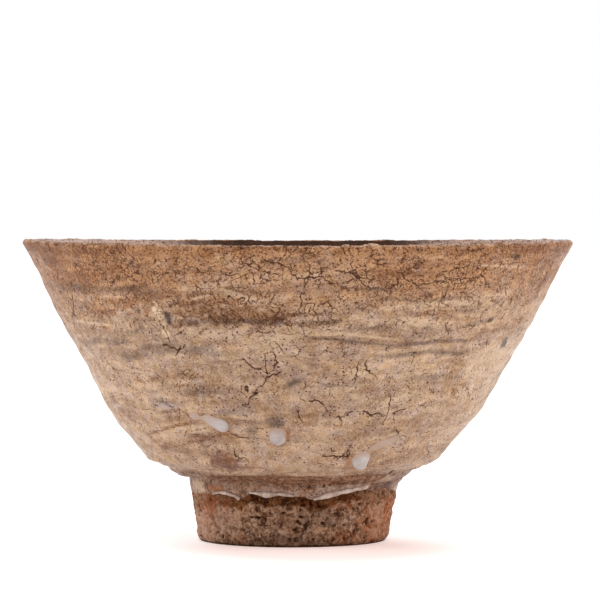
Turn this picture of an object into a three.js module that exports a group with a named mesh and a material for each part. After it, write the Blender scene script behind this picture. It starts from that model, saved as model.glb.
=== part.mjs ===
// A footed tea bowl: a wheel-thrown clay bowl on a tall foot ring, with glaze over its lip, inside and wall.
// Millimetres, +Z up. The origin is on the table under the middle of the lip, and the front faces -Y.
import * as THREE from "three";

// Bowl
const RIM_DIAMETER = 149.4; // across the glazed lip
const HEIGHT = 81; // from the table to the glazed lip
const LIP_WALL = 1; // clay at the lip, rounded over
const LIP_LEAN = 30.5; // degrees that the wall leans out at the lip
const LIP_PULL = 27; // length over which the wall keeps the lip's lean
const WALL = 5; // clay at the waist, thinner only near the lip
const WAIST_DIAMETER = 79.6; // glazed, at the trimmed break where the wall turns under
const WAIST_HEIGHT = 22.6;
const WAIST_LEAN = 43; // degrees that the wall leans out just above the waist
const WAIST_PULL = 21.5; // length over which the wall keeps the waist's lean
const FLOOR = 5; // clay between the tea and the hollow of the foot
const WELL_RISE = 12; // height over which the inside rounds into its floor

// Foot
const FOOT_HEIGHT = 17.4; // from the table to the seat of the bowl
const FOOT_DIAMETER = 52.4; // just above the table
const FOOT_TOP_DIAMETER = 55.8;
const TOE_HEIGHT = 1.6; // worn edge at the table
const TOE_WIDTH = 0.9;
const HOLLOW_DIAMETER = 41; // mouth of the hollow, at the table
const HOLLOW_TOP_DIAMETER = 37;
const NUB_DIAMETER = 12; // small peak that the trimming tool leaves in the hollow
const NUB_HEIGHT = 2;

// Glaze
const GLAZE = 0.5;
const BOND_GAP = 0.2; // keeps each glaze solid clear of the one below
const LIP_BAND = 2; // wall on each side of the lip that the lip's own glaze covers
const HEM_HEIGHT = 13.2; // lower edge of the glaze, on the foot
const HEM_WAVE = 0.7; // how far that edge wanders up and down
const POOL = 1.5; // glaze gathered in the corner above the foot

// Making marks
const RIDGE_PITCH = 8.5; // climb of the throwing spiral in one turn
const RIDGE_HEIGHT = 0.45;
const FOOT_SHIFT = 1.2; // the foot sits this far to the left of the lip
const OUT_OF_ROUND = 0.3; // the lip is this much wider from side to side
const LIP_SADDLE = 0.28; // the lip dips at the front and back
const LIP_TILT = 0.25; // and stands higher on the left

// White glaze on the wall and along the hem. A turn is in degrees from the front, positive to the right.
const DROPS = [
  { name: "glaze_drop_left", turn: -26, height: 33.6, width: 2.8, length: 11, thickness: 0.9, slant: 62 },
  { name: "glaze_drop_centre", turn: -5.3, height: 30.6, width: 4.2, length: 5.4, thickness: 1.1, slant: 0 },
  { name: "glaze_drop_right", turn: 25.4, height: 25.2, width: 4.8, length: 5, thickness: 1.2, slant: -10 },
  { name: "glaze_streak", turn: 31, height: 28.6, width: 1.8, length: 8, thickness: 0.4, slant: -70 },
];
const ROLLS = [
  { name: "glaze_roll_left", turn: -40, span: 20 },
  { name: "glaze_roll_centre", turn: -12, span: 26 },
  { name: "glaze_roll_right", turn: 29, span: 36 },
];
const ROLL_HEIGHT = 1.9;
const ROLL_THICKNESS = 0.8;

// Facets
const SEGMENTS = 40; // round the bowl
const RINGS_PER_RIDGE = 4;
const LIP_STEPS = 4;
const WELL_STEPS = 5;
const FOOT_STEPS = 5;
const BEAD_SEGMENTS = 14;
const BEAD_RINGS = 8;

const { clamp, degToRad, lerp, smoothstep } = THREE.MathUtils;
const COAT = BOND_GAP + GLAZE; // from the clay to the finished surface
const floorHeight = FOOT_HEIGHT + FLOOR;

// A direction in the section, leaning out from upright
function leaning(degrees) {
  return new THREE.Vector2(Math.sin(degToRad(degrees)), Math.cos(degToRad(degrees)));
}

// The section's outside, from the waist up to the round of the lip
const lipRound = LIP_WALL / 2;
const lipCentre = new THREE.Vector2(RIM_DIAMETER / 2 - COAT - lipRound, HEIGHT - COAT - lipRound);
const lipUp = leaning(LIP_LEAN);
const lipOutside = new THREE.Vector2(lipUp.y, -lipUp.x).multiplyScalar(lipRound).add(lipCentre);
const waist = new THREE.Vector2(WAIST_DIAMETER / 2 - COAT, WAIST_HEIGHT);
const wall = new THREE.CubicBezierCurve(
  waist,
  leaning(WAIST_LEAN).multiplyScalar(WAIST_PULL).add(waist),
  lipUp.clone().multiplyScalar(-LIP_PULL).add(lipOutside),
  lipOutside,
);

// The section's inside follows the wall, drawn in to the lip
function wallInside(along) {
  const tangent = wall.getTangentAt(along);
  const inward = new THREE.Vector2(-tangent.y, tangent.x);
  return inward.multiplyScalar(lerp(WALL, LIP_WALL, along ** 3)).add(wall.getPointAt(along));
}

// The inside rounds from the wall into a level floor
function well(from, tangent) {
  const corner = tangent.clone().multiplyScalar((floorHeight - from.y) / tangent.y).add(from);
  const level = new THREE.Vector2(corner.x - corner.distanceTo(from), floorHeight);
  const round = new THREE.QuadraticBezierCurve(from, corner, level).getPoints(WELL_STEPS).slice(1);
  return [...round, new THREE.Vector2(0, floorHeight)];
}

function footRadius(height) {
  return lerp(FOOT_DIAMETER, FOOT_TOP_DIAMETER, smoothstep(height, TOE_HEIGHT, FOOT_HEIGHT)) / 2;
}

// Lists of section points. Each runs from the foot, up the outside, over the lip and down the inside.
const bandStart = 1 - LIP_BAND / wall.getLength();
const bandEdge = bandStart + BOND_GAP / wall.getLength();
const wallRings = Math.ceil((RINGS_PER_RIDGE * (lipCentre.y - WAIST_HEIGHT)) / RIDGE_PITCH);
const wallStops = Array.from({ length: wallRings + 1 }, (_, ring) => (bandStart * ring) / wallRings);
const outside = wallStops.map((along) => wall.getPointAt(along));
const lip = [wall.getPointAt(bandEdge)];
for (let step = 0; step <= LIP_STEPS; step++) {
  const angle = (Math.PI * step) / LIP_STEPS - degToRad(LIP_LEAN);
  lip.push(new THREE.Vector2(Math.cos(angle), Math.sin(angle)).multiplyScalar(lipRound).add(lipCentre));
}
lip.push(wallInside(bandEdge));
const straightStops = wallStops.filter((_, ring) => (wallRings - ring) % RINGS_PER_RIDGE === 0).reverse();
const insideStops = straightStops.filter((along) => wallInside(along).y > floorHeight + WELL_RISE);
const wellStart = insideStops.at(-1);
const wellTangent = wall.getTangentAt(wellStart).negate();
const inside = [...insideStops.map(wallInside), ...well(wallInside(wellStart), wellTangent)];

// Moves a list of section points off the clay by a distance, keeping its corners sharp
function offset(points, distance) {
  const normals = points.slice(1).map((point, i) => {
    const along = point.clone().sub(points[i]).normalize();
    return new THREE.Vector2(along.y, -along.x);
  });
  return points.map((point, i) => {
    const before = normals[Math.max(i - 1, 0)];
    const after = normals[Math.min(i, normals.length - 1)];
    const mitre = before.clone().add(after).divideScalar(1 + before.dot(after));
    const moved = mitre.multiplyScalar(distance).add(point);
    return point.x === 0 ? moved.setX(0) : moved;
  });
}

// The closed section of a glaze layer over a list of clay points
function layer(under, face) {
  const section = [...under.reverse(), ...face];
  return section[0].x === 0 || section.at(-1).x === 0 ? section : [...section, section[0].clone()];
}

// The height of the glaze's lower edge
function hemHeight(turn) {
  return HEM_HEIGHT + HEM_WAVE * (0.3 * Math.sin(2 * turn) - Math.cos(4 * turn));
}

// How far a throwing ridge stands out of the wall
function ridge(turn, height) {
  const shown =
    smoothstep(height, WAIST_HEIGHT, WAIST_HEIGHT + RIDGE_PITCH) *
    (1 - smoothstep(height, HEIGHT - RIDGE_PITCH, HEIGHT - LIP_BAND - LIP_WALL));
  return shown * RIDGE_HEIGHT * (0.5 + 0.5 * Math.cos((2 * Math.PI * height) / RIDGE_PITCH - turn));
}

// Where a point of the true turning lies once the bowl has slumped a little in the kiln
function settle(turn, radius, height) {
  const rise = clamp((height - FOOT_HEIGHT) / (HEIGHT - FOOT_HEIGHT), 0, 1);
  const share = radius / (RIM_DIAMETER / 2);
  const wide = radius - share * rise * OUT_OF_ROUND * Math.cos(2 * turn);
  const lift = -share * rise * rise * (LIP_SADDLE * Math.cos(2 * turn) + LIP_TILT * Math.sin(turn));
  return new THREE.Vector3(
    wide * Math.sin(turn) - FOOT_SHIFT * (1 - rise),
    -wide * Math.cos(turn),
    height + lift,
  );
}

// A point of the outside, moved out by the throwing ridges
function ridged(turn, point) {
  return new THREE.Vector2(point.x + ridge(turn, point.y), point.y);
}

// A point of the glaze on the foot, moved up or down the foot as the hem wanders
function wavered(turn, point) {
  const down = (FOOT_HEIGHT - point.y) / (FOOT_HEIGHT - HEM_HEIGHT);
  const height = lerp(FOOT_HEIGHT, hemHeight(turn), down);
  return new THREE.Vector2(point.x + footRadius(height) - footRadius(point.y), height);
}

// Turns a section about the axis, with each of its points marked first
function revolve(section, marked = (turn, point) => point) {
  const geometry = new THREE.LatheGeometry(section, SEGMENTS);
  const position = geometry.attributes.position;
  for (let i = 0; i < position.count; i++) {
    const turn = (2 * Math.PI * (Math.floor(i / section.length) % SEGMENTS)) / SEGMENTS;
    const point = marked(turn, section[i % section.length]);
    position.setXYZ(i, ...settle(turn, point.x, point.y).toArray());
  }
  geometry.computeVertexNormals();
  return geometry;
}

// The bowl stands on a flat seat, with the nub in the middle of it
function clayBowl() {
  const seat = [
    new THREE.Vector2(0, FOOT_HEIGHT - NUB_HEIGHT),
    new THREE.Vector2(NUB_DIAMETER / 4, FOOT_HEIGHT - 0.7 * NUB_HEIGHT),
    new THREE.Vector2(NUB_DIAMETER / 2, FOOT_HEIGHT),
    new THREE.Vector2(HOLLOW_TOP_DIAMETER / 2, FOOT_HEIGHT),
    new THREE.Vector2(FOOT_TOP_DIAMETER / 2, FOOT_HEIGHT),
  ];
  return revolve([...seat, ...outside, ...lip, ...inside], (turn, point) =>
    outside.includes(point) ? ridged(turn, point) : point,
  );
}

function footRing() {
  const side = Array.from({ length: FOOT_STEPS + 1 }, (_, step) => {
    const height = lerp(TOE_HEIGHT, FOOT_HEIGHT, step / FOOT_STEPS);
    return new THREE.Vector2(footRadius(height), height);
  });
  const ring = [
    new THREE.Vector2(FOOT_DIAMETER / 2 - TOE_WIDTH, 0),
    ...side,
    new THREE.Vector2(HOLLOW_TOP_DIAMETER / 2, FOOT_HEIGHT),
    new THREE.Vector2(HOLLOW_DIAMETER / 2, TOE_HEIGHT),
    new THREE.Vector2(HOLLOW_DIAMETER / 2 + TOE_WIDTH, 0),
  ];
  return revolve([...ring, ring[0].clone()]);
}

// The outer glaze runs from its hem on the foot, round the waist and up to the lip's band
const hemSide = [HEM_HEIGHT, FOOT_HEIGHT].map((height) => new THREE.Vector2(footRadius(height), height));
const outerPath = [...hemSide, ...outside];
const corner = hemSide.length - 1;
const outerFace = offset(outerPath, COAT);
const pooled = [corner - 1, corner + 1].map((next) => {
  const away = outerFace[next].clone().sub(outerFace[corner]).setLength(POOL);
  return away.add(outerFace[corner]);
});
outerFace.splice(corner, 1, ...pooled);

function outerGlaze() {
  return revolve(layer(offset(outerPath, BOND_GAP), outerFace), (turn, point) =>
    point.y < FOOT_HEIGHT ? wavered(turn, point) : ridged(turn, point),
  );
}

function lipGlaze() {
  return revolve(layer(offset(lip, BOND_GAP), offset(lip, COAT)));
}

function innerGlaze() {
  return revolve(layer(offset(inside, BOND_GAP), offset(inside, COAT)));
}

// The radius of the finished outside at a height, with its ridges
function faceRadius(turn, height) {
  const above = clamp(outerFace.findIndex((point) => point.y > height), 1, outerFace.length - 1);
  const [low, high] = [outerFace[above - 1], outerFace[above]];
  return lerp(low.x, high.x, (height - low.y) / (high.y - low.y)) + ridge(turn, height);
}

// A flat-backed bead of glaze, bent to the outside. The place function gives its turn and height there.
function bead(thickness, lean, place) {
  const geometry = new THREE.SphereGeometry(1, BEAD_SEGMENTS, BEAD_RINGS);
  const position = geometry.attributes.position;
  for (let i = 0; i < position.count; i++) {
    const { turn, height } = place(position.getX(i), -position.getZ(i));
    const stand = BOND_GAP + thickness * Math.max(position.getY(i), 0);
    const radius = faceRadius(turn, height) + stand * Math.cos(lean);
    position.setXYZ(i, ...settle(turn, radius, height - stand * Math.sin(lean)).toArray());
  }
  geometry.computeVertexNormals();
  return geometry;
}

// A run of glaze on the wall, narrow above and round below, turned by its slant
function drop({ turn, height, width, length, thickness, slant }) {
  const lean = degToRad(WAIST_LEAN);
  const [cos, sin] = [Math.cos(degToRad(slant)), Math.sin(degToRad(slant))];
  const middle = degToRad(turn);
  const radius = faceRadius(middle, height);
  return bead(thickness, lean, (across, up) => {
    const side = (across * width * (1 - 0.35 * up)) / 2;
    const rise = (up * length) / 2;
    return {
      turn: middle + (side * cos - rise * sin) / radius,
      height: height + (side * sin + rise * cos) * Math.cos(lean),
    };
  });
}

// A rolled edge of glaze that lies along the hem
function roll({ turn, span }) {
  return bead(ROLL_THICKNESS, 0, (across, up) => {
    const place = degToRad(turn + (across * span) / 2);
    return { turn: place, height: hemHeight(place) + ((1 + up) * ROLL_HEIGHT) / 2 };
  });
}

function piece(name, geometry, color, roughness) {
  const mesh = new THREE.Mesh(geometry, new THREE.MeshStandardMaterial({ color, roughness, metalness: 0 }));
  mesh.name = name;
  return mesh;
}

const clay = new THREE.Group();
clay.add(piece("clay_bowl", clayBowl(), 0x7d5b43, 0.9));
clay.add(piece("foot_ring", footRing(), 0x76533d, 0.95));

const glaze = new THREE.Group();
glaze.add(piece("outer_glaze", outerGlaze(), 0xb09070, 0.45));
glaze.add(piece("lip_glaze", lipGlaze(), 0x8f6a4d, 0.5));
glaze.add(piece("inner_glaze", innerGlaze(), 0x94805c, 0.4));

const whiteGlaze = new THREE.Group();
DROPS.forEach((size) => whiteGlaze.add(piece(size.name, drop(size), 0xdcd6d2, 0.2)));
ROLLS.forEach((size) => whiteGlaze.add(piece(size.name, roll(size), 0xd2c6b8, 0.3)));

const bowl = new THREE.Group();
bowl.add(clay, glaze, whiteGlaze);

export default bowl;
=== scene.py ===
# A wheel-thrown tea bowl on a tall bare foot, with crackled buff glaze and a few white runs.
# Sizes are in millimetres and turns in degrees from the front, positive to the right.
import itertools
import math

import bpy
import numpy as np
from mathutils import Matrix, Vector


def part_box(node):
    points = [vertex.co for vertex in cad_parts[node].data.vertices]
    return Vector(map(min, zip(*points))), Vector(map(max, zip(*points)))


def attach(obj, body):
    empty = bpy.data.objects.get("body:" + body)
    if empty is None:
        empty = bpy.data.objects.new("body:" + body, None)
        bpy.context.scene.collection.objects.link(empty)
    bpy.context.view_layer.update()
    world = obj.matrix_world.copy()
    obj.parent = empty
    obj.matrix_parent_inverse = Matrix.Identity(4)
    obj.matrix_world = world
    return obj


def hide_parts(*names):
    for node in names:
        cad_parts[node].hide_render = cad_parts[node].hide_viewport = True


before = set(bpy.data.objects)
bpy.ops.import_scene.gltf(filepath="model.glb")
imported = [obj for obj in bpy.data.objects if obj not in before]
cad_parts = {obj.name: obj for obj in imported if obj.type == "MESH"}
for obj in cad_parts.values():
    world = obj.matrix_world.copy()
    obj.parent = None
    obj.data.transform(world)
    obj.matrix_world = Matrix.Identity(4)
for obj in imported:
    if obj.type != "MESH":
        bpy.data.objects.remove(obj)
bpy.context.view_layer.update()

# Thrown bowl
# Coarse iron-bearing stoneware, thrown on the wheel and slumped a little in the kiln. Glaze covers it,
# except inside the foot, where the trimming tool left a spiral and a small nub in the middle.
MM = 0.001
lip_low, lip_high = (np.array(corner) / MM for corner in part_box("lip_glaze"))
foot_low, foot_high = (np.array(corner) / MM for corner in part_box("foot_ring"))
lip_reach = (lip_high - lip_low) / 2
LIP_WAVER = 0.2  # how far lumps and flakes stand off the lip
RIM = (lip_reach[0] + lip_reach[1]) / 2 - LIP_WAVER  # radius of the lip
OUT_OF_ROUND = (lip_reach[0] - lip_reach[1]) / 2  # the lip is wider from side to side
LIP_SADDLE = 0.42  # the lip dips at the front and back
LIP_TILT = 0.1  # and stands higher on the left
HEIGHT = lip_high[2] - LIP_TILT
LIP_ROUND = 0.9  # radius of the lip's edge
LIP_LEAN = 30.5  # degrees that the wall leans out at the lip
LIP_PULL = 27  # length over which the wall keeps that lean
WAIST = (39.8, 22.6)  # radius and height of the trimmed break where the wall turns under
WAIST_LEAN = 43
WAIST_PULL = 21.5
WALL = 6.4  # clay and both glazes at the waist
FLOOR_HEIGHT = 23.1  # inside, on the glaze
WELL_RISE = 12  # height over which the inside rounds into its floor
FOOT_HEIGHT = foot_high[2]
FOOT_TOP = (foot_high[0] - foot_low[0]) / 2  # radius of the foot under the bowl
FOOT_FLARE = 0.5  # how much wider the foot is there than at its middle
BULGE_ROOM = 0.2  # how far the foot moves over for the bulge on its right
FOOT_SHIFT = (foot_high[0] + foot_low[0]) / 2 - BULGE_ROOM  # the foot sits to the left of the lip
FOOT_COAT = 0.3  # glaze on the foot
GLAZE_START = 10  # height on the foot where the drawn section starts, below every hem
HOLLOW_TOP = 18.5  # radius of the foot's hollow, under the bowl
NUB = (6, 2)  # radius and height of the nub
UNDER_GLAZE = 0.75  # from the finished surface in to the clay


def settled(turn, radius, height):
    """Where a point of the true turning lies once the bowl has slumped."""
    rise = np.clip((height - FOOT_HEIGHT) / (HEIGHT - FOOT_HEIGHT), 0, 1)
    share = radius / RIM
    wide = radius - share * rise * OUT_OF_ROUND * np.cos(2 * turn)
    lift = -share * rise**2 * (LIP_SADDLE * np.cos(2 * turn) + LIP_TILT * np.sin(turn))
    across = wide * np.sin(turn) + FOOT_SHIFT * (1 - rise) ** 2
    return np.stack(np.broadcast_arrays(across, -wide * np.cos(turn), height + lift), axis=-1)


def leaning(degrees):
    return np.array([math.sin(math.radians(degrees)), math.cos(math.radians(degrees))])


CURVE_POINTS = 160  # along each curve of the section


def bezier(*poles):
    """Points along the curve that its poles draw out."""
    share = np.linspace(0, 1, CURVE_POINTS)[:, None]
    level = [np.array(pole, float) for pole in poles]
    while len(level) > 1:
        level = [start + (end - start) * share for start, end in zip(level, level[1:])]
    return level[0]


class Outline:
    """A line in the section, measured along its length."""

    def __init__(self, points):
        self.points = np.array(points, float)
        steps = np.linalg.norm(np.diff(self.points, axis=0), axis=1)
        self.along = np.concatenate([[0], np.cumsum(steps)])
        self.length = self.along[-1]
        run = np.gradient(self.points, self.along, axis=0)
        run /= np.linalg.norm(run, axis=1, keepdims=True)
        self.off = np.stack([run[:, 1], -run[:, 0]], axis=1)

    def at(self, along, off=0):
        """Radius and height at a distance along the line, moved off it by another."""
        radius, height = (np.interp(along, self.along, values) for values in self.points.T)
        out, up = (np.interp(along, self.along, values) for values in self.off.T)
        return radius + off * out, height + off * up


OPEN_ENDS = {"mode": "reflect", "reflect_type": "odd"}  # a line goes on past its ends as it came


def smoothed(values, count, ends):
    """Values averaged over a count of neighbours, with what numpy's pad puts past the ends."""
    weight = np.hanning(count)
    return np.convolve(np.pad(values, count // 2, **ends), weight / weight.sum(), "valid")


def softened(points, reach, step=0.1):
    """A line of points with its corners rounded over a reach."""
    line = Outline(points)
    count = 2 * round(reach / step) + 1
    even = line.at(np.arange(0, line.length + step / 2, step))
    return np.stack([smoothed(values, count, OPEN_ENDS) for values in even], axis=1)


lip_centre = np.array([RIM - LIP_ROUND, HEIGHT - LIP_ROUND])
lip_up = leaning(LIP_LEAN)
lip_out = np.array([lip_up[1], -lip_up[0]])
lip_foot = lip_centre + LIP_ROUND * lip_out
waist = np.array(WAIST)
wall = bezier(waist, waist + WAIST_PULL * leaning(WAIST_LEAN), lip_foot - LIP_PULL * lip_up, lip_foot)
coated_foot = [
    (FOOT_TOP - FOOT_FLARE + FOOT_COAT, GLAZE_START),
    (FOOT_TOP + FOOT_COAT, FOOT_HEIGHT - 1.2),
    (FOOT_TOP + 0.35, FOOT_HEIGHT + 0.2),
]
outside = softened([*coated_foot, *wall], 0.5)
lip_angles = np.linspace(0, math.pi, 30)[1:] - math.radians(LIP_LEAN)
lip = lip_centre + LIP_ROUND * np.stack([np.cos(lip_angles), np.sin(lip_angles)], axis=1)
wall_line = Outline(wall)
along_wall = np.linspace(wall_line.length, 0, CURVE_POINTS)[1:]
thickness = WALL + (2 * LIP_ROUND - WALL) * (along_wall / wall_line.length) ** 3
inside = np.stack(wall_line.at(along_wall, -thickness), axis=1)
inside = inside[inside[:, 1] > FLOOR_HEIGHT + WELL_RISE]
fall = inside[-1] - inside[-2]
well_corner = inside[-1] + fall * (FLOOR_HEIGHT - inside[-1, 1]) / fall[1]
well_reach = np.linalg.norm(well_corner - inside[-1])
well_floor = (well_corner[0] - well_reach, FLOOR_HEIGHT)
well = bezier(inside[-1], well_corner, well_floor)[1:]

# The finished surface: from the foot up the outside, over the lip, and down the inside to the middle
section = Outline([*outside, *lip, *inside, *well, (0, FLOOR_HEIGHT)])
lip_start = section.along[len(outside) - 1]
lip_end = section.along[len(outside) + len(lip) - 1]


def along_at(height):
    """Distance along the section at a height of the outside."""
    return np.interp(height, section.points[: len(outside), 1], section.along[: len(outside)])


def fade(value, none, full):
    """Share that grows smoothly from 0 to 1 between two values."""
    share = np.clip((value - none) / (full - none), 0, 1)
    return share * share * (3 - 2 * share)


LATTICE = np.random.default_rng(11).uniform(-1, 1, (32, 32, 32))


def lumps(places, size, shift=0.0):
    """A smooth random value from -1 to 1 at each place, with lumps of a size."""
    scaled = places / size + shift
    cell = np.floor(scaled).astype(int)
    part = fade(scaled - cell, 0, 1)
    total = 0
    for step in itertools.product((0, 1), repeat=3):
        weight = np.prod(np.where(step, part, 1 - part), axis=-1)
        total = total + weight * LATTICE[tuple(np.moveaxis((cell + step) % len(LATTICE), -1, 0))]
    return total


def level_ring(height, middle, reach):
    """Share of a ring round the bowl at a height, that fades out over a reach."""
    return fade(np.abs(height - middle), reach, 0.2 * reach)


FOOT_BULGE = 0.65  # on the right
FOOT_ROUNDING = 1.1  # from the foot into the bowl, most on the right
TOE_CUT = 0.5  # above the toe, on the left
CORNER_RINGS = [(19.1, 1, 0.6), (20.9, 1.4, -0.35), (30, 6, 0.4)]  # on the left: height, reach and rise


def foot_swell(turn, height):
    """How far the foot and its corner stand out, which isn't the same on the right and the left."""
    right, left = fade(np.sin(turn), 0.1, 0.9), fade(-np.sin(turn), 0.2, 0.95)
    bulge = FOOT_BULGE * fade(height, 7, 14) * fade(height, FOOT_HEIGHT + 3, FOOT_HEIGHT)
    rounding = FOOT_ROUNDING * fade(height, 15.3, 17) * fade(height, FOOT_HEIGHT + 1.8, FOOT_HEIGHT)
    toe_cut = TOE_CUT * fade(height, 2, 4) * fade(height, 9, 6.5)
    rings = sum(rise * level_ring(height, middle, reach) for middle, reach, rise in CORNER_RINGS)
    return right * (bulge + rounding) + left * (rings - toe_cut) + 0.3 * (1 - right - left) * rounding


THROWING_PITCH = 6.3  # climb of the throwing spiral in one turn
RIDGE = 0.09  # height of its ridges outside
FINGER_RIDGE = 2.5 * RIDGE  # and inside
BELLY_PITCH = 28  # long swell of the wall between two pulls
BELLY_TOP = 62
BELLY_SWELL = 0.3
BELLY_OUT = 0.36  # how far the wall stands off the section on the whole
TUCK = 0.75  # how far it draws in above the waist
TRIMMING_PITCH = 3.4  # rings that the trimming tool cut under the waist
TRIMMING_RING = 0.17
TRIMMING_OUT = 0.28
LIP_CALM = 7  # length on each side of the lip over which all this fades


def relief(turn, along):
    """How far the finished surface stands off the drawn section."""
    radius, height = section.at(along)
    place = settled(turn, radius, height)
    outer = fade(along, lip_start, lip_start - LIP_CALM)
    inner = fade(along, lip_end, lip_end + LIP_CALM)
    thrown = outer * fade(height, WAIST[1] + 1, WAIST[1] + 6)
    above_foot = fade(height, FOOT_HEIGHT, FOOT_HEIGHT + 0.8)
    trimmed = outer * above_foot * fade(height, WAIST[1] + 1, WAIST[1] - 1)
    wander = turn + 1.8 * lumps(place, 26)
    spiral = np.sin(2 * math.pi * height / THROWING_PITCH - wander)
    swell = BELLY_SWELL * np.cos(2 * math.pi * (height - BELLY_TOP) / BELLY_PITCH)
    belly = BELLY_OUT + swell - TUCK * fade(height, 37, 28)
    rings = TRIMMING_OUT + TRIMMING_RING * np.cos(2 * math.pi * along / TRIMMING_PITCH - wander)
    swells = 0.24 * lumps(place, 13) + 0.12 * lumps(place, 5, 4.2)
    tooth = 0.06 * lumps(place, 1.4, 7.7)
    pits = 0.5 * np.clip(lumps(place, 1.9, 2.6) - 0.5, 0, 1)
    uneven = (0.35 + 0.65 * np.maximum(outer, inner)) * (swells + tooth) - pits * outer
    ridges = thrown * (RIDGE * spiral + belly) + trimmed * rings + inner * FINGER_RIDGE * spiral
    return ridges + uneven + outer * foot_swell(turn, height)


MAP_MARGIN = 0.005  # of each strip in a mesh's own map
MAP_SHOWN = (0.93, 0.95)  # where the shown rings end in a strip, and where the others start


def turned(name, rings, painted=None, poles=(), hard=(), flipped=None, shown=None, strips=1):
    """A closed mesh from rings of points, the last ring joined to the first.

    Poles are rings drawn together to one point, hard rings keep a crisp edge, and flipped cells are split
    along their other diagonal. In the mesh's own map, the first shown rings lie in strips above each other.
    """
    count, columns = rings.shape[:2]
    shown = shown or count
    index = np.arange(count * columns).reshape(count, columns)
    for pole in poles:
        index[pole] = index[pole, 0]
    row, column = (values[..., None] for values in np.indices((count, columns)))
    corner_rows = (row + [0, 0, 1, 1]).reshape(-1, 4)
    corner_columns = (column + [0, 1, 1, 0]).reshape(-1, 4)
    if flipped is not None:
        other = flipped.ravel()
        corner_rows[other] = np.roll(corner_rows[other], -1, axis=1)
        corner_columns[other] = np.roll(corner_columns[other], -1, axis=1)
    corners = index[corner_rows % count, corner_columns % columns]
    kept = corners != np.roll(corners, 1, axis=1)
    whole = kept.sum(axis=1) > 2
    used, renumbered = np.unique(corners[whole], return_inverse=True)
    faces = [list(dict.fromkeys(face)) for face in renumbered.reshape(-1, 4).tolist()]
    mesh = bpy.data.meshes.new(name)
    mesh.from_pydata(rings.reshape(-1, 3)[used] * MM, [], faces)
    mesh.shade_smooth()
    for paint_name, values in (painted or {}).items():
        layer = mesh.attributes.new(paint_name, "FLOAT", "POINT")
        layer.data.foreach_set("value", values.ravel()[used].astype(np.float32))
    ends = np.empty(2 * len(mesh.edges), np.int32)
    mesh.edges.foreach_get("vertices", ends)
    end_rows = (used // columns)[ends.reshape(-1, 2)]
    crisp = (end_rows[:, 0] == end_rows[:, 1]) & np.isin(end_rows[:, 0], hard)
    mesh.attributes.new("sharp_edge", "BOOLEAN", "EDGE").data.foreach_set("value", crisp)
    per_strip = columns // strips
    strip = corner_columns.min(axis=1, keepdims=True) // per_strip
    across = MAP_MARGIN + (1 - 2 * MAP_MARGIN) * (corner_columns - strip * per_strip) / per_strip
    spread = [np.linspace(0, MAP_SHOWN[0], shown), np.linspace(MAP_SHOWN[1], 1, count - shown + 1)]
    up = 2 * MAP_MARGIN + (1 - 4 * MAP_MARGIN) * np.concatenate(spread)[corner_rows]
    unwrapped = np.stack([across, (strip + up) / strips], axis=-1)[whole][kept[whole]]
    mesh.uv_layers.new(name="OFBake").data.foreach_set("uv", unwrapped.astype(np.float32).ravel())
    piece = bpy.data.objects.new(name, mesh)
    bpy.context.scene.collection.objects.link(piece)
    return piece


def paint(red, green, blue):
    """A colour in steps of 255, as the light that a shader takes."""
    steps = np.array([red, green, blue]) / 255
    linear = np.where(steps > 0.04045, ((steps + 0.055) / 1.055) ** 2.4, steps / 12.92)
    return (*linear, 1)


def add_node(tree, kind, inputs=None, **settings):
    """A shader node, with a number, a colour or another node's output on each input that is given."""
    node = tree.nodes.new("ShaderNode" + kind)
    for setting, value in settings.items():
        setattr(node, setting, value)
    for socket, value in (inputs or {}).items():
        if isinstance(value, bpy.types.NodeSocket):
            tree.links.new(value, node.inputs[socket])
        else:
            node.inputs[socket].default_value = value
    return node


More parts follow.
